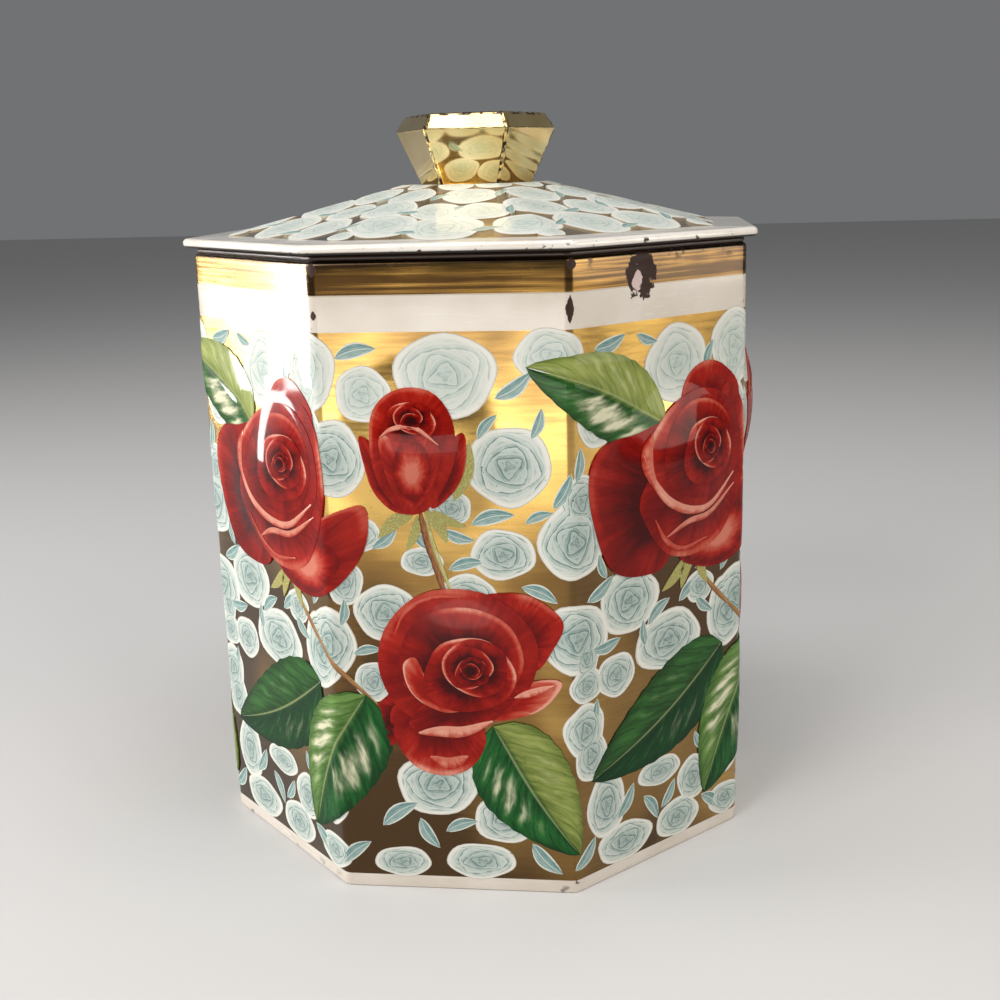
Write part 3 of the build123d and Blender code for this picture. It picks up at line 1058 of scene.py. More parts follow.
# %% Curves and shapes
def through(points, share, closed):
    """Points on a smooth curve through a few given ones, at shares of the way from 0 to 1."""
    points = np.array(points, float)
    count = len(points)
    if closed:
        knots = np.concatenate([points[-1:], points, points[:2]])
        place = np.asarray(share) % 1 * count
    else:
        knots = np.concatenate([2 * points[:1] - points[1:2], points, 2 * points[-1:] - points[-2:-1]])
        place = np.clip(share, 0, 1) * (count - 1)
        count -= 1
    start = np.clip(np.floor(place).astype(int), 0, count - 1)
    t = (place - start)[:, None]
    a, b, c, d = (knots[start + k] for k in range(4))
    return 0.5 * (2 * b + (c - a) * t + (2 * a - 5 * b + 4 * c - d) * t**2 + (3 * b - a - 3 * c + d) * t**3)


def ease(value, low, high):
    t = np.clip((value - low) / (high - low), 0, 1)
    return t * t * (3 - 2 * t)


def shape(points, lift, uv, faces, **values):
    """One printed shape as arrays; each named value is kept for every point."""
    n = len(points)
    named = {name: np.zeros(n) + value for name, value in values.items()}
    return {"points": np.array(points, float), "lift": np.zeros(n) + lift, "uv": np.array(uv, float),
            "faces": faces, "values": named}


def blossom(along, up, wide, tall, number):
    """A pale background blossom: a slightly scalloped disc."""
    disc, faces = BLOSSOM_DISC
    angle = np.arctan2(disc[:, 1], disc[:, 0])
    reach = np.hypot(disc[:, 0], disc[:, 1])
    scallop = 1.1 + reach**2 * (0.03 * np.sin(5 * angle + number) + 0.03 * np.sin(3 * angle + 2 * number))
    points = np.stack([along + disc[:, 0] * wide * scallop, up + disc[:, 1] * tall * scallop], axis=1)
    spin = number * 2.4
    turned = disc @ np.array([[cos(spin), sin(spin)], [-sin(spin), cos(spin)]])
    # Painted light: the strokes are fainter higher up the wall, so the blossoms there are paler.
    depth = 1.55 - 0.7 * ease(np.full(len(points), float(up)), 86.0, 112.0)
    lift = BLOSSOM_LIFT + 0.12 * (1 - reach**2)
    return shape(points, lift, turned, faces, seed=number * 0.37 % 1, depth=depth)


def leaflet(along, up, length, heading, number, fat=0.36):
    """A small almond leaf, from its middle, pointing along its heading in degrees."""
    grid, faces = LEAFLET_GRID
    share = (grid[:, 1] + 1) / 2
    half = length * fat / 2 * np.sin(pi * share**0.9) ** 0.8
    ahead = np.array([cos(radians(heading)), sin(radians(heading))])
    aside = np.array([ahead[1], -ahead[0]])
    bow = 0.08 * length * np.sin(pi * share) * (1 if number % 2 else -1)
    centre = np.outer((share - 0.5) * length, ahead) + np.outer(bow, aside)
    points = centre + np.outer(grid[:, 0] * half, aside) + (along, up)
    return shape(points, LEAFLET_LIFT, np.stack([grid[:, 0], share], 1), faces, tone=0.5)


def leaf(base, tip, bow, sides, lift):
    """A large rose leaf: a bowed midrib, then for each side (half width, tone, yellowness, shine)."""
    grid, faces = LEAF_GRID
    share = (grid[:, 1] + 1) / 2
    base, tip = np.array(base, float), np.array(tip, float)
    ahead = tip - base
    length = hypot(*ahead)
    ahead /= length
    aside = np.array([ahead[1], -ahead[0]])
    width, tone, yellow, shine = (np.where(grid[:, 0] < 0, a, b) for a, b in zip(*sides))
    reach = np.abs(grid[:, 0])
    wavy = 1 + 0.02 * np.sin(share * 60) * reach**6
    half = width * np.sin(pi * share**0.76) ** 0.7 * (1 - 0.15 * share) * wavy
    centre = base + np.outer(share * length, ahead) + np.outer(bow * np.sin(pi * share), aside)
    points = centre + np.outer(grid[:, 0] * half, aside)
    crown = 0.3 * (1 - reach**2) * np.sin(pi * share) - 0.2 * np.exp(-((reach / 0.1) ** 2))
    tone = tone - 0.14 * np.exp(-((reach / 0.22) ** 2))
    tone = tone - 0.16 * ease(reach, 0.72, 1.0) - 0.12 * ease(share, 0.7, 1)
    patch = np.exp(-(((reach - 0.48) / 0.3) ** 2) - ((share - 0.42) / 0.26) ** 2)
    return shape(points, lift + crown, np.stack([grid[:, 0], share], 1), faces,
                 tone=tone, yellow=yellow, shine=shine * patch)


def petal(outline, heart, tones, rim, layer):
    """A petal: tones are (in the fold, on the petal); rim is (strength, from degrees, to degrees)."""
    disc, faces = PETAL_DISC
    angle = np.arctan2(disc[:, 1], disc[:, 0])
    reach = np.hypot(disc[:, 0], disc[:, 1])
    x, y = np.array(outline, float).T
    if np.sum(x * np.roll(y, -1) - y * np.roll(x, -1)) < 0:
        outline = outline[::-1]  # anticlockwise, so the petal faces outwards
    edge = through(outline, angle / (2 * pi), closed=True)
    heart = np.array(heart, float)
    points = heart + reach[:, None] * (edge - heart)
    toward_edge = edge - np.mean(outline, axis=0)
    facing = np.degrees(np.arctan2(toward_edge[:, 1], toward_edge[:, 0]))
    strength, start, end = rim
    middle_facing, half_width = (start + end) / 2, (end - start) / 2
    off = np.abs((facing - middle_facing + 180) % 360 - 180)
    lit = strength * (1 - ease(off, half_width - 30, half_width + 15))
    lit = lit * (0.72 * ease(reach, 0.89, 0.96) + 0.28 * ease(reach, 0.55, 0.92))
    tone = tones[0] + (tones[1] - tones[0]) * ease(reach, 0.3, 0.95) + lit
    lift = ROSE_LIFT + layer * ROSE_STEP + 0.03 * (1 - reach**2)
    return shape(points, lift, disc, faces, tone=tone)


def lip(line, width, tone, layer, lift=None):
    """A narrow turned rim, or a stem, through a few points, thinner at both ends."""
    grid, faces = LIP_GRID
    share = (grid[:, 1] + 1) / 2
    centre = through(line, share, closed=False)
    ahead = through(line, share + 0.02, closed=False) - through(line, share - 0.02, closed=False)
    ahead /= np.maximum(np.hypot(ahead[:, 0], ahead[:, 1]), 1e-6)[:, None]
    aside = np.stack([ahead[:, 1], -ahead[:, 0]], 1)
    half = width / 2 * np.maximum(np.sin(pi * np.clip(share, 0.02, 0.98)) ** 0.6, 0.12)
    points = centre + aside * (grid[:, 0] * half)[:, None]
    shade = tone - 0.22 * ease(grid[:, 0], 0.0, 1.0)
    height = (ROSE_LIFT + layer * ROSE_STEP if lift is None else lift) + 0.06 * (1 - grid[:, 0] ** 2)
    swept = (0.6 + 0.3 * grid[:, 0])[:, None] * np.stack([np.cos(3 * share), np.sin(3 * share)], 1)
    return shape(points, height, swept, faces, tone=shade)


# %% [markdown]
# ## From flat shapes to a printed piece
# All shapes of one colour become one mesh. It is cut along the bends first, so no face spans a corner, and
# then copied four times round the tin, bent with the wall, and given a hair of thickness that sinks into
# the sheet.

# %% Printed pieces
BLOSSOM_LIFT = 0.08
LEAFLET_LIFT = 0.13
STEM_LIFT = 0.16
LEAF_LIFT = 0.22
ROSE_LIFT = 0.32
ROSE_STEP = 0.045
PRINT_THICKNESS = 0.3
REPEATS = SIDES // 2


def flat_piece(name, shapes):
    """One mesh from many shapes, still flat: x along, y up, z off the sheet, in millimetres."""
    starts = np.cumsum([0] + [len(s["points"]) for s in shapes])
    faces = [tuple(i + start for i in f) for s, start in zip(shapes, starts) for f in s["faces"]]
    points = np.concatenate([np.column_stack([s["points"], s["lift"]]) for s in shapes])
    mesh = bpy.data.meshes.new(name)
    mesh.from_pydata(points.tolist(), [], faces)
    piece = bpy.data.objects.new(name, mesh)
    bpy.context.scene.collection.objects.link(piece)
    uv = np.concatenate([s["uv"] for s in shapes])
    corners = np.array([loop.vertex_index for loop in mesh.loops])
    mesh.uv_layers.new(name="drawing").data.foreach_set("uv", uv[corners].ravel())
    for label in shapes[0]["values"]:
        values = np.concatenate([s["values"][label] for s in shapes])
        write_value(mesh, label, values)
    bpy.ops.object.select_all(action="DESELECT")
    bpy.context.view_layer.objects.active = piece
    piece.select_set(True)
    return piece


def cut_along(planes):
    """Cuts the active mesh, without parting it, along planes given as (a point, a normal)."""
    def cut():
        for point, normal in planes:
            bpy.ops.mesh.select_all(action="SELECT")
            bpy.ops.mesh.bisect(plane_co=point, plane_no=normal, threshold=1e-4)

    edit(cut)


def join_copies(piece, places):
    """Copies a piece once per place, each an array of points, and joins the copies."""
    copies = []
    for points in places:
        copy = piece.copy()
        copy.data = piece.data.copy()
        write_points(copy, points)
        bpy.context.scene.collection.objects.link(copy)
        copies.append(copy)
    bpy.data.meshes.remove(piece.data)
    bpy.ops.object.select_all(action="DESELECT")
    for copy in copies:
        copy.select_set(True)
    bpy.context.view_layer.objects.active = copies[0]
    bpy.ops.object.join()
    return copies[0]


def finish_print(piece, places, name, body, material):
    """Copies a flat piece to its places, gives it a hair of thickness and puts it on its body."""
    piece = join_copies(piece, places)
    thicken(piece, PRINT_THICKNESS)
    smooth_below(40)
    return finish_piece(piece, name, body, "printed_tin", material)


def print_round(name, shapes, material):
    """Prints shapes round the wall, once for every repeat."""
    piece = flat_piece(name, shapes)
    bend = np.linspace(-BEND_REACH, BEND_REACH, BEND_COLUMNS + 1)
    cut_along([((n * FACE + step, 0, 0), (1, 0, 0)) for n in range(-1, 4) for step in bend])
    flat = read_points(piece)
    out = flat[:, 2] + embossing(flat[:, 0], flat[:, 1])
    places = [bend_round(flat[:, 0] + n * REPEAT, flat[:, 1], out) for n in range(REPEATS)]
    return finish_print(piece, places, name, "canister", material)


# %% [markdown]
# ## Printed enamels
# The blossoms are off-white with thin grey-blue strokes. Their pattern is a set of rings round the middle:
# the distance is cut into steps, each step is scalloped by the angle, so it reads as a ring of petals, and
# noise breaks the lines up. Leaves and petals use a ramp from their dark tone to their light one, with
# brush strokes added.

# %% Enamel materials
BLOSSOM_RINGS = 4.7
BLOSSOM_SCALLOP = 0.62
BLOSSOM_EDGE = (0.25, 0.22, 0.16)
LEAFLET_PALE = (0.6, 0.62, 0.55)
LEAF_SHINE = (0.62, 0.6, 0.42)
LEAF_RIB = (0.32, 0.36, 0.17)


def enamel(name):
    return new_material(name, Coat_Weight=0.26, Coat_Roughness=0.05, Specular_IOR_Level=0.03)


def finish_enamel(shader, colour):
    """The last steps that every enamel shares: a few specks, uneven varnish."""
    marks = use(shader.id_data, specks, 1300.0, 0.4)["Mask"]
    feed(shader.inputs["Base Color"], blend_colours(marks, colour, RUST_AND_SHADE_BROWN))
    varnish_over(shader, 0.22, 0.42)


def drawing(tree):
    return put(tree, "ShaderNodeUVMap", uv_map="drawing").outputs[0]


def blossom_enamel(name, depth):
    """Off-white with grey-blue strokes; depth says how dark the strokes are."""
    material, tree, shader = enamel(name)
    flat = drawing(tree)
    x, y, _ = split(flat)
    reach = distance(flat)
    shifted = combine(x, y, times(painted(tree, "seed"), 9.0))
    rings = plus(times(reach, BLOSSOM_RINGS), times(noise(shifted, 2.2, 2.0), 0.9))
    ring = sums("FLOOR", plus(rings, 0.75))
    turned = plus(times(sums("ARCTAN2", y, x), 1.5), times(ring, 2.1))
    petals = sums("ABSOLUTE", sums("SINE", turned))
    step = sums("FRACT", plus(rings, times(petals, BLOSSOM_SCALLOP)))
    fold = span(step, 0.0, 0.8, 1.0, 0.0)
    line = larger(span(step, 0.0, 0.13, 1.0, 0.0), span(step, 0.93, 1.0))
    fine = span(sums("SINE", times(step, 6 * pi)), 0.2, 1.0)
    broken = span(noise(shifted, 4.5, 3.0), 0.32, 0.6, 0.3, 1.0)
    ink = plus(times(fold, 0.3), times(line, 0.36))
    ink = plus(times(ink, broken), times(fine, 0.1))
    centre = times(span(reach, 0.1, 0.85, 1.0, 0.3), 0.34)
    inside = inverse(span(reach, 0.82, 0.92))
    strength = times(inside, times(painted(tree, "depth"), depth))
    ink = times(plus(ink, centre), strength)
    white = colour_steps(
        ink, (0.0, (0.68, 0.67, 0.61)), (0.4, (0.44, 0.5, 0.46)), (1.0, (0.12, 0.2, 0.19))
    )
    outline = times(span(reach, 0.955, 0.99), 0.5)
    finish_enamel(shader, blend_colours(outline, white, BLOSSOM_EDGE))
    return material


def leaflet_enamel():
    """Grey-blue streaks with a pale rib and a pale rim."""
    material, tree, shader = enamel("leaflet_enamel")
    flat = drawing(tree)
    x, _, _ = split(flat)
    aside = sums("ABSOLUTE", x)
    streaks = noise(stretch(flat, (5.0, 1.6, 1)), 2.0, 3.0)
    tone = plus(times(streaks, 1.1), times(x, 0.12))
    blue = colour_steps(
        tone, (0.35, (0.075, 0.17, 0.17)), (0.55, (0.18, 0.3, 0.29)), (0.75, (0.4, 0.47, 0.43))
    )
    rib = times(inverse(span(aside, 0.04, 0.12)), 0.7)
    pale = larger(rib, span(aside, 0.72, 0.86))
    finish_enamel(shader, blend_colours(pale, blue, LEAFLET_PALE))
    return material


def leaf_enamel():
    """Green or olive, with slanting veins, brushed highlights between them and a pale midrib."""
    material, tree, shader = enamel("leaf_enamel")
    flat = drawing(tree)
    x, y, _ = split(flat)
    aside = sums("ABSOLUTE", x)
    slant = plus(minus(y, times(aside, 0.28)), times(noise(flat, 2.6, 2.0), 0.08))
    along_vein = combine(times(x, 1.3), slant, 0.0)
    strokes = use(tree, brush, along_vein, 1.4, 24.0)["Strokes"]
    broad = use(tree, brush, along_vein, 1.1, 9.0)["Strokes"]
    veins = sums("ABSOLUTE", minus(sums("FRACT", times(slant, 7.0)), 0.5))
    tone = plus(painted(tree, "tone"), swing(strokes, 0.14))
    tone = plus(tone, swing(broad, 0.16))
    tone = minus(tone, times(span(veins, 0.4, 0.5), 0.12))
    green = colour_steps(
        tone, (0.05, (0.003, 0.02, 0.008)), (0.3, (0.004, 0.04, 0.009)), (0.52, (0.013, 0.105, 0.02)),
        (0.75, (0.08, 0.25, 0.055)), (0.95, (0.34, 0.44, 0.18)),
    )
    olive = colour_steps(
        tone, (0.05, (0.02, 0.03, 0.006)), (0.4, (0.12, 0.16, 0.03)), (0.7, (0.3, 0.33, 0.09)),
        (0.95, (0.5, 0.48, 0.2)),
    )
    colour = blend_colours(painted(tree, "yellow"), green, olive)
    shine = times(painted(tree, "shine"), span(veins, 0.12, 0.42, 1.0, 0.42))
    shine = times(shine, plus(0.35, times(broad, 0.75)))
    shine = times(shine, span(strokes, 0.0, 0.8, 0.7, 1.0))
    colour = blend_colours(span(shine, 0.12, 0.85), colour, LEAF_SHINE)
    rib = times(inverse(span(aside, 0.012, 0.04)), 0.5)
    finish_enamel(shader, blend_colours(rib, colour, LEAF_RIB))
    return material


def polar_brush(tree, across, along):
    """Brush strokes that run from the heart of a petal to its rim."""
    flat = drawing(tree)
    x, y, _ = split(put(tree, "ShaderNodeVectorMath", flat, operation="NORMALIZE").outputs[0])
    where = combine(x, distance(flat), times(y, across))
    return use(tree, brush, where, across, along)["Strokes"]


def petal_enamel():
    """Red from almost black to pink; the brush strokes fade towards the heart."""
    material, tree, shader = enamel("petal_enamel")
    reach = distance(drawing(tree))
    strokes = swing(polar_brush(tree, 9.0, 1.2), span(reach, 0.3, 0.8, 0.0, 0.08))
    washes = swing(polar_brush(tree, 1.6, 1.6), span(reach, 0.2, 0.7, 0.0, 0.16))
    red = colour_steps(
        plus(plus(painted(tree, "tone"), strokes), washes),
        (0.02, (0.012, 0.0003, 0.0003)), (0.26, (0.05, 0.0005, 0.0005)), (0.45, (0.17, 0.002, 0.001)),
        (0.62, (0.32, 0.01, 0.004)), (0.8, (0.45, 0.075, 0.045)), (1.0, (0.64, 0.29, 0.21)),
    )
    finish_enamel(shader, red)
    return material


def stem_enamel():
    """From a brown stem to a yellow-green sepal."""
    material, tree, shader = enamel("stem_enamel")
    strokes = use(tree, brush, drawing(tree), 6.0, 14.0)["Strokes"]
    tone = plus(painted(tree, "tone"), swing(strokes, 0.3))
    colour = colour_steps(
        tone, (0.1, (0.07, 0.02, 0.01)), (0.4, (0.3, 0.12, 0.05)), (0.65, (0.32, 0.33, 0.1)),
        (0.9, (0.64, 0.6, 0.35)),
    )
    finish_enamel(shader, colour)
    return material


# %% [markdown]
# ## Background blossoms and small leaves
# The places below are drawn on one repeat of the print, two faces wide. A blossom is (along, up,
# half width, half height), and a small leaf is (along, up, length, heading). Each face has its own list,
# measured from its own corner. A pattern of this sort wants uneven sizes and gaps, so a formula would
# look wrong.

# %% Blossoms
FIRST_BLOSSOMS = [
    (25.5, 111, 9.2, 7.6), (9.2, 107.5, 5.2, 5), (1.8, 94.5, 6.8, 7.2), (37.5, 93, 7.6, 7.4),
    (35.8, 75, 6, 4.8), (50.5, 77.5, 7, 7.4), (11.5, 62.5, 6, 5.6), (28.5, 66, 5.2, 4.6),
    (-1.5, 55.5, 6, 7), (8.2, 47.5, 3.6, 4), (50.8, 57, 7.4, 6.8), (53, 46.5, 3.9, 3.6),
    (52.6, 36.5, 4.8, 5.6), (20.8, 24.5, 8, 6.4), (35, 17, 6.2, 5.2), (12.6, 6.3, 5.6, 3.2),
    (29.4, 7, 6.8, 3.8), (46, 114.6, 6.6, 4.8), (25.8, 84.8, 3.8, 3.4), (3.2, 69, 3.6, 4.6),
    (-3.8, 108.5, 4, 5.2), (19.5, 73.5, 4, 2.8), (31, 31, 4, 4), (6.5, 79, 4.4, 3.6),
]
SECOND_BLOSSOMS = [
    (29, 110, 8.2, 7.4), (46.4, 112, 6.6, 7.4), (15.4, 62, 7.7, 6.6), (27, 50.5, 9, 6.2),
    (11.5, 46.6, 5, 4.4), (45.5, 53, 6, 7.6), (8.6, 17.8, 5, 7), (35, 15.6, 4.4, 5), (14, 7.4, 7.4, 4.2),
    (30.3, 7.4, 6.2, 4.2), (24.5, 20.5, 6, 3), (46.2, 20, 4.6, 6), (16, 107, 4.6, 3.6), (2.4, 85.5, 4.4, 5),
    (36.5, 60.5, 4, 3.4), (4.4, 30.5, 4, 5.4), (44.6, 98, 5.6, 6.4), (45.8, 7, 5, 3.6), (22.4, 73, 4, 3),
    (6.5, 101, 4.4, 5), (3.4, 52.5, 3, 4), (44, 36, 5, 5.4),
]
BLOSSOMS = FIRST_BLOSSOMS + [(FACE + along, *size) for along, *size in SECOND_BLOSSOMS]
FIRST_LEAFLETS = [
    (8, 115.4, 8.6, 12), (38.6, 109, 9, 35), (34, 82.2, 9, 12), (47.8, 88, 8, 62), (28.5, 72.6, 7.6, 12),
    (12, 78.4, 7, 40), (19.4, 78.6, 6, 120), (27, 79, 7, -20), (43, 66.6, 8, -25), (57, 66.4, 8.4, 30),
    (7.3, 54, 6, 10), (58.6, 54, 8, 8), (12.5, 17.4, 9.6, 35), (18.7, 13.2, 8, -60), (25.6, 15, 7.4, 20),
    (43.6, 8, 9.4, -48), (2.6, 8, 8.4, 40), (43, 101.5, 6.4, 70), (33.5, 101, 6, 50), (19, 59.5, 5, 60),
    (15.5, 95, 6, 100), (2.5, 62.5, 6, 80), (43.2, 82.5, 6, 20), (27, 91, 5, 60), (40, 56, 6, 70),
]
SECOND_LEAFLETS = [
    (10.2, 116.2, 8.6, 15), (33.6, 60.4, 8, 30), (38, 56.2, 7, -40), (24, 57.6, 8, 35),
    (14.2, 16.8, 8.4, 55), (21.8, 12.6, 8, -58), (27.2, 14.2, 7, 55), (41.4, 7, 9.4, -42),
    (2.6, 8.4, 8.4, 48), (38.5, 110.5, 7, 70), (20.4, 116, 6, -20), (20, 53.6, 6.6, 100), (38, 66.5, 7, 30),
    (8, 71, 6, 110), (43.2, 28.5, 6, 60), (37, 24, 6, 120), (5, 39.5, 7, 70), (45, 65, 6, 50),
    (1.6, 93, 7, 80), (20.5, 103.5, 5, 30),
]
LEAFLETS = FIRST_LEAFLETS + [(FACE + along, *size) for along, *size in SECOND_LEAFLETS]

blossom_finish, leaflet_finish = blossom_enamel("blossom_enamel", 1.0), leaflet_enamel()
# Painted light: the lid's blossoms get fainter strokes, as the lid takes the light from above.
lid_blossom_finish = blossom_enamel("lid_blossom_enamel", 0.5)
print_round("blossoms", [blossom(*place, n) for n, place in enumerate(BLOSSOMS)], blossom_finish)
print_round("leaflets", [leaflet(*place, n) for n, place in enumerate(LEAFLETS)], leaflet_finish)

# %% [markdown]
# ## Large leaves and stems
# A rose leaf is a midrib, a width on each side and a tone on each side: one half catches the light and the
# other lies in shade. The stems go down first, and the leaves and flowers cover their ends.

# %% Leaves and stems
LEAVES = [
    # The first leaf's cream highlights are stronger than the print's: part print, part painted highlight.
    leaf((FACE + 44, 45.5), (FACE + 4.5, 24.5), -2.0,
         ((10.5, 0.32, 0.0, 0.5), (10.5, 0.44, 0.1, 0.4)), LEAF_LIFT),
    leaf((33, 38.5), (50.5, 9), 1.0,
         ((10.5, 0.58, 0.9, 0.5), (11, 0.5, 0.0, 1.0)), LEAF_LIFT + 0.05),
    leaf((FACE + 24.5, 98), (FACE - 8.5, 112.5), 1.6,
         ((9.5, 0.5, 0.1, 1.9), (8.6, 0.68, 0.9, 0.6)), LEAF_LIFT),
    leaf((6.5, 44.5), (-11, 10.5), 1.5,
         ((12.5, 0.46, 0.0, 1.2), (10, 0.62, 0.3, 1.5)), LEAF_LIFT + 0.1),
]
SEPALS = [
    leaflet(14.6, 81, 9.6, 215, 1, 0.3), leaflet(22.5, 81, 8.6, 300, 2, 0.3),
    leaflet(28.2, 92.5, 13, 74, 1, 0.22), leaflet(17.6, 79.4, 8, 250, 2, 0.26),
    leaflet(FACE + 33, 65.6, 10, 242, 1, 0.3), leaflet(FACE + 28.5, 65, 9.6, 222, 2, 0.26),
    leaflet(FACE + 37.5, 65, 9, 285, 1, 0.28), leaflet(25.4, 82.6, 7.6, 330, 1, 0.26),
    leaflet(FACE + 41, 68, 8, 300, 2, 0.24),
]
for sepal in SEPALS:
    sepal["lift"] += LEAF_LIFT - LEAFLET_LIFT
    sepal["values"]["tone"] += 0.12
STEMS = [
    lip([(19.5, 85), (20.4, 79), (22.4, 72), (24.5, 64)], 1.6, 0.36, 0, STEM_LIFT),
    lip([(20.6, 84), (21.6, 78), (23.8, 71), (26, 65)], 0.9, 0.72, 0, STEM_LIFT + 0.04),
    lip([(FACE + 33, 68), (FACE + 41, 59), (FACE + 50, 50.5), (FACE + 60, 41)], 1.3, 0.45, 0, STEM_LIFT),
]
stem_finish = stem_enamel()
print_round("rose_leaves", LEAVES, leaf_enamel())
print_round("stems_and_sepals", STEMS + SEPALS, stem_finish)

# %% [markdown]
# ## The roses
# A painted rose is built like a real one: large outer petals first, then smaller and smaller cups inside,
# each turned a little from the last, with a pale rim where it folds over. Each petal below is a smooth
# outline through a few given points. The inner cups are worked out by a loop: every ring is smaller
# and turned by the golden angle, which is how rose petals grow.

# %% Rose petals
GOLDEN_TURN = 137.5


def cups(along, up, radius, count, layer, squash=0.9):
    """The rolled heart of a rose: smaller and smaller cups, each turned from the last."""
    made = []
    for n in range(count):
        size = radius * 0.72**n
        turn = 60 + GOLDEN_TURN * n
        middle_along = along + 0.16 * size * cos(radians(turn + 180))
        middle_up = up + 0.16 * size * sin(radians(turn + 180))
        outline = [
            (middle_along + size * (1 + 0.09 * cos(radians(3 * a + turn))) * cos(radians(a)),
             middle_up + size * squash * (1 + 0.07 * sin(radians(2 * a + turn))) * sin(radians(a)))
            for a in range(0, 360, 40)
        ]
        tones, rim = (0.1, 0.52 - 0.03 * n), (0.42, turn - 85, turn + 85)
        made.append(petal(outline, (middle_along, middle_up), tones, rim, layer + n))
    return made


LOW_ROSE = [
    petal([(17, 43), (12, 45), (7, 40), (4.4, 33.6), (8.6, 32), (14, 35), (19, 39)],
          (16, 41), (0.22, 0.5), (0.2, 120, 230), 0),
    petal([(12, 42), (12.4, 34.6), (16.4, 28.6), (23, 26.8), (28.6, 29.4), (31.4, 36), (28, 43), (20, 45)],
          (22, 43), (0.3, 0.56), (0.34, 215, 320), 1),
    petal([(31, 65), (36, 67), (42, 66), (47.6, 61), (45.4, 55), (41.6, 50.4), (35, 52)],
          (36, 55), (0.24, 0.56), (0.22, 10, 110), 1),
    petal([(32, 40), (39, 40.6), (44, 43), (47.2, 48), (41.6, 48.4), (36, 46), (30, 44)],
          (33, 43), (0.5, 0.72), (0.3, -60, 60), 2),
    petal([(9.6, 50), (10.6, 58), (15.4, 64.4), (22, 67.6), (31, 67.2), (38, 63.4), (42.2, 57),
           (41.8, 49.6), (37.6, 43), (30, 39), (21, 38.4), (13.4, 42)],
          (28, 50), (0.26, 0.52), (0.24, 70, 175), 3),
    petal([(15.4, 38.4), (21, 36), (28, 36.6), (34, 40.6), (38, 46), (30, 46), (20, 44)],
          (27, 44), (0.3, 0.5), (0.44, 225, 320), 4),
    petal([(14, 52), (16, 59), (22, 63.4), (30, 63.8), (37, 60), (39.6, 52.6), (36.4, 46), (29, 42.6),
           (20, 43.4), (15, 47)],
          (28, 51), (0.14, 0.46), (0.36, -20, 120), 5),
    petal([(14.8, 51.8), (17.4, 53.4), (19.4, 49.6), (23.6, 46), (29.4, 43.6), (24, 41.6), (18.6, 43.6),
           (15.6, 47)],
          (20, 45.6), (0.5, 0.72), (0.34, 120, 260), 6),
] + cups(29, 51.2, 9.4, 6, 7)
LOW_ROSE += [
    lip([(17.4, 36.6), (22, 37.2), (27, 37.4), (33, 39.8)], 2.6, 0.98, 6),
    lip([(19.5, 31), (23.5, 29.6), (27.5, 31.4)], 2.8, 0.86, 2),
    lip([(13.2, 58), (16, 63.2), (21.4, 66), (27, 66.2)], 1.0, 0.78, 4),
    lip([(37.6, 45), (41, 46), (45.6, 47.4)], 1.6, 0.98, 4),
]

HIGH_ROSE = [
    petal([(30, 68.4), (37, 73), (45, 80), (53, 84), (58.2, 84.4), (57.6, 76), (52, 68.4), (45, 64.6),
           (37, 64.8)],
          (33, 69), (0.34, 0.5), (0.3, 20, 110), 0),
    petal([(33, 67.6), (39, 74), (48, 77.4), (52.4, 73), (47, 66.4), (39, 65)],
          (42.6, 70.6), (0.88, 0.42), (0.0, 60, 160), 1),
    petal([(29, 100), (32, 107), (37.6, 109.6), (43, 108), (47.6, 103), (46, 95), (38, 92), (31, 94)],
          (38, 97), (0.3, 0.56), (0.2, 60, 170), 0),
    petal([(4.4, 85), (5, 92), (9, 96), (16, 97), (26, 98.4), (31, 90), (30, 78), (26, 68), (19, 66.6),
           (11.6, 68.6), (7.6, 74)],
          (27, 83), (0.2, 0.46), (0.2, 110, 215), 1),
    petal([(43, 104), (48, 101), (49.6, 94), (49.4, 84), (45, 75), (38, 76), (38, 90)],
          (41, 88), (0.3, 0.54), (0.36, -30, 70), 2),
    petal([(17, 84), (20, 76), (26, 70), (34, 68.2), (42, 71), (46.6, 77.4), (48.4, 85), (40, 92),
           (26, 94)],
          (34, 88), (0.22, 0.48), (0.3, 225, 335), 3),
    petal([(17.6, 92), (22, 98), (27.6, 102), (34, 104), (41, 103), (46.6, 98), (48.4, 90), (46, 83),
           (40, 78.8), (32, 78.6), (24.4, 82.4), (19, 87)],
          (36, 91), (0.22, 0.5), (0.42, 110, 215), 4),
    petal([(23, 90), (25, 97), (31, 101.4), (38, 101.6), (44, 97.6), (46, 90.4), (42.8, 84), (36, 81),
           (28.6, 82.6), (24, 86)],
          (36.4, 91), (0.14, 0.46), (0.3, 20, 130), 5),
] + cups(37, 92, 8.2, 6, 6)
HIGH_ROSE += [
    lip([(17.8, 92.6), (20, 87), (24.4, 82), (31, 79), (38, 79), (46, 84.6)], 1.9, 0.97, 6),
    lip([(25, 74), (31, 76.4), (38, 77), (46.4, 82)], 1.5, 0.92, 5),
    lip([(21, 78.6), (24.4, 73.6), (30, 70.4), (38, 71.4)], 1.2, 0.8, 5),
    lip([(20.4, 96.6), (18.8, 93.4), (18.8, 89.6), (20.6, 86.2)], 2.8, 0.86, 6),
]

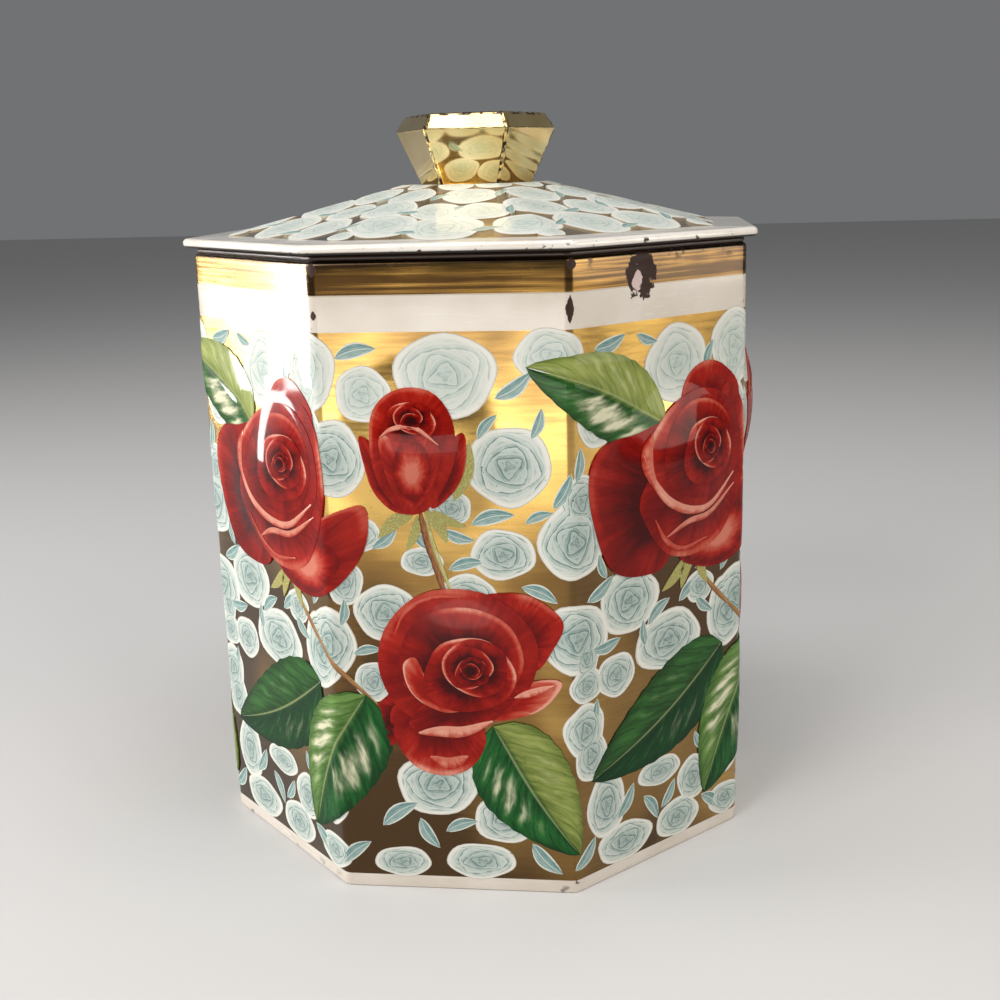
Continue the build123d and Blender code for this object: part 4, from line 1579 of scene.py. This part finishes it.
BUD = [
    petal([(8.2, 99.4), (11.4, 97.4), (15, 93), (20, 88), (20, 84), (14.6, 84), (10.6, 88), (9, 93.6)],
          (14, 88), (0.36, 0.56), (0.2, 150, 260), 0),
    petal([(27.6, 99.6), (29.4, 99), (29, 93), (26.4, 88), (22, 85), (23, 93)],
          (25, 90), (0.34, 0.56), (0.2, -40, 60), 0),
    petal([(10.4, 98), (11, 104), (14, 107.6), (18.4, 109), (23.4, 107.8), (26.8, 103), (27.4, 96),
           (25, 89.6), (21, 84.4), (16.6, 83.8), (12.8, 88), (11, 92.6)],
          (19, 99), (0.3, 0.54), (0.24, 60, 200), 1),
    petal([(12.4, 99), (16, 100.4), (20.6, 100.8), (24.4, 97), (23, 90.4), (19.4, 85.4), (16, 86.6),
           (13.4, 92)],
          (19, 88), (0.4, 0.58), (0.34, 60, 150), 2),
    petal([(14.8, 92), (16.6, 98), (20.8, 98.4), (22.6, 93), (20.2, 87.4), (16.6, 87.4)],
          (18.8, 92), (0.86, 0.46), (0.0, 60, 150), 3),
] + cups(18.8, 103, 5.2, 4, 3, 0.8)
BUD += [lip([(12.6, 99.4), (15.4, 101.2), (19.6, 101.4), (24.2, 98)], 1.0, 0.95, 5)]
for part in HIGH_ROSE:
    part["points"][:, 0] += FACE  # it was drawn from the second face's corner

print_round("roses", LOW_ROSE + HIGH_ROSE + BUD, petal_enamel())


# %% [markdown]
# ## Print on the lid
# The lid carries the same blossoms. Seen from above its print is a flat picture, so here the flat sheet is
# the plan view, and each point is lifted to the height of the roof below it. The shapes are cut along the
# ridges first.

# %% Lid blossoms
LID_REPEATS = 4


def roof_height(x, y):
    """Height of the lid's skin at a point of the plan, in millimetres."""
    out = np.max([x * sin(n * TURN) - y * cos(n * TURN) for n in range(SIDES)], axis=0)
    share = np.clip((ROOF_HALF - out) / (ROOF_HALF - ROOF_TOP_HALF), 0, 1)
    return LID_TOP + (ROOF_TOP - LID_TOP) * share


def around_lid(angle, reach):
    """A place on the plan: an angle to the right of the front, and a distance from the middle."""
    return reach * sin(radians(angle)), -reach * cos(radians(angle))


def print_lid(name, shapes, material):
    piece = flat_piece(name, shapes)
    ridges = [TURN / 2 + n * TURN for n in range(SIDES // 2)]
    top_edge = [(ROOF_TOP_HALF * sin(n * TURN), -ROOF_TOP_HALF * cos(n * TURN), 0) for n in range(SIDES)]
    cut_along([((0, 0, 0), (-sin(a), cos(a), 0)) for a in ridges] + [(p, p) for p in top_edge])
    flat = read_points(piece)
    places = []
    for n in range(LID_REPEATS):
        c, s = cos(2 * pi * n / LID_REPEATS), sin(2 * pi * n / LID_REPEATS)
        x, y = c * flat[:, 0] - s * flat[:, 1], s * flat[:, 0] + c * flat[:, 1]
        places.append(np.stack([x, y, roof_height(x, y) + flat[:, 2]], axis=1) * MM)
    return finish_print(piece, places, name, "lid", material)


LID_BLOSSOMS = [
    (-1, 46.8, 7.4), (19, 48, 6.4), (37, 46.6, 7.2), (55, 47.6, 6.6), (73, 46.4, 7.0), (9, 36.4, 5.6),
    (28, 35, 6.2), (49, 36, 5.4), (66, 35.4, 6.0), (84, 36, 5.2), (4, 25, 5.4), (36, 25, 5.6),
    (64, 25.4, 5.2), (20, 16.4, 3.8), (50, 16, 3.6), (82, 16.4, 3.9), (22.5, 54.4, 2.6),
    (67.5, 54.4, 2.6),
]
LID_LEAFLETS = [
    (9.4, 48.6, 6.4, 20), (28, 46.6, 6, 80), (46, 50, 6.4, 60), (64, 47.6, 6, 110), (81.6, 50, 6, 90),
    (-1, 34, 6, 40), (18.6, 37, 6, 95), (38.6, 37.6, 6, 60), (57.6, 35, 6, 120), (75, 37, 5.6, 100),
    (20, 24.6, 5.6, 70), (50, 26, 5.6, 110), (80, 26, 5.6, 140),
]
lid_blossoms = [
    blossom(*around_lid(angle, reach), size, size * 0.92, n + 50)
    for n, (angle, reach, size) in enumerate(LID_BLOSSOMS)
]
lid_leaflets = [
    leaflet(*around_lid(angle, reach), length, heading, n)
    for n, (angle, reach, length, heading) in enumerate(LID_LEAFLETS)
]
print_lid("lid_blossoms", lid_blossoms, lid_blossom_finish)
print_lid("lid_leaflets", lid_leaflets, leaflet_finish)
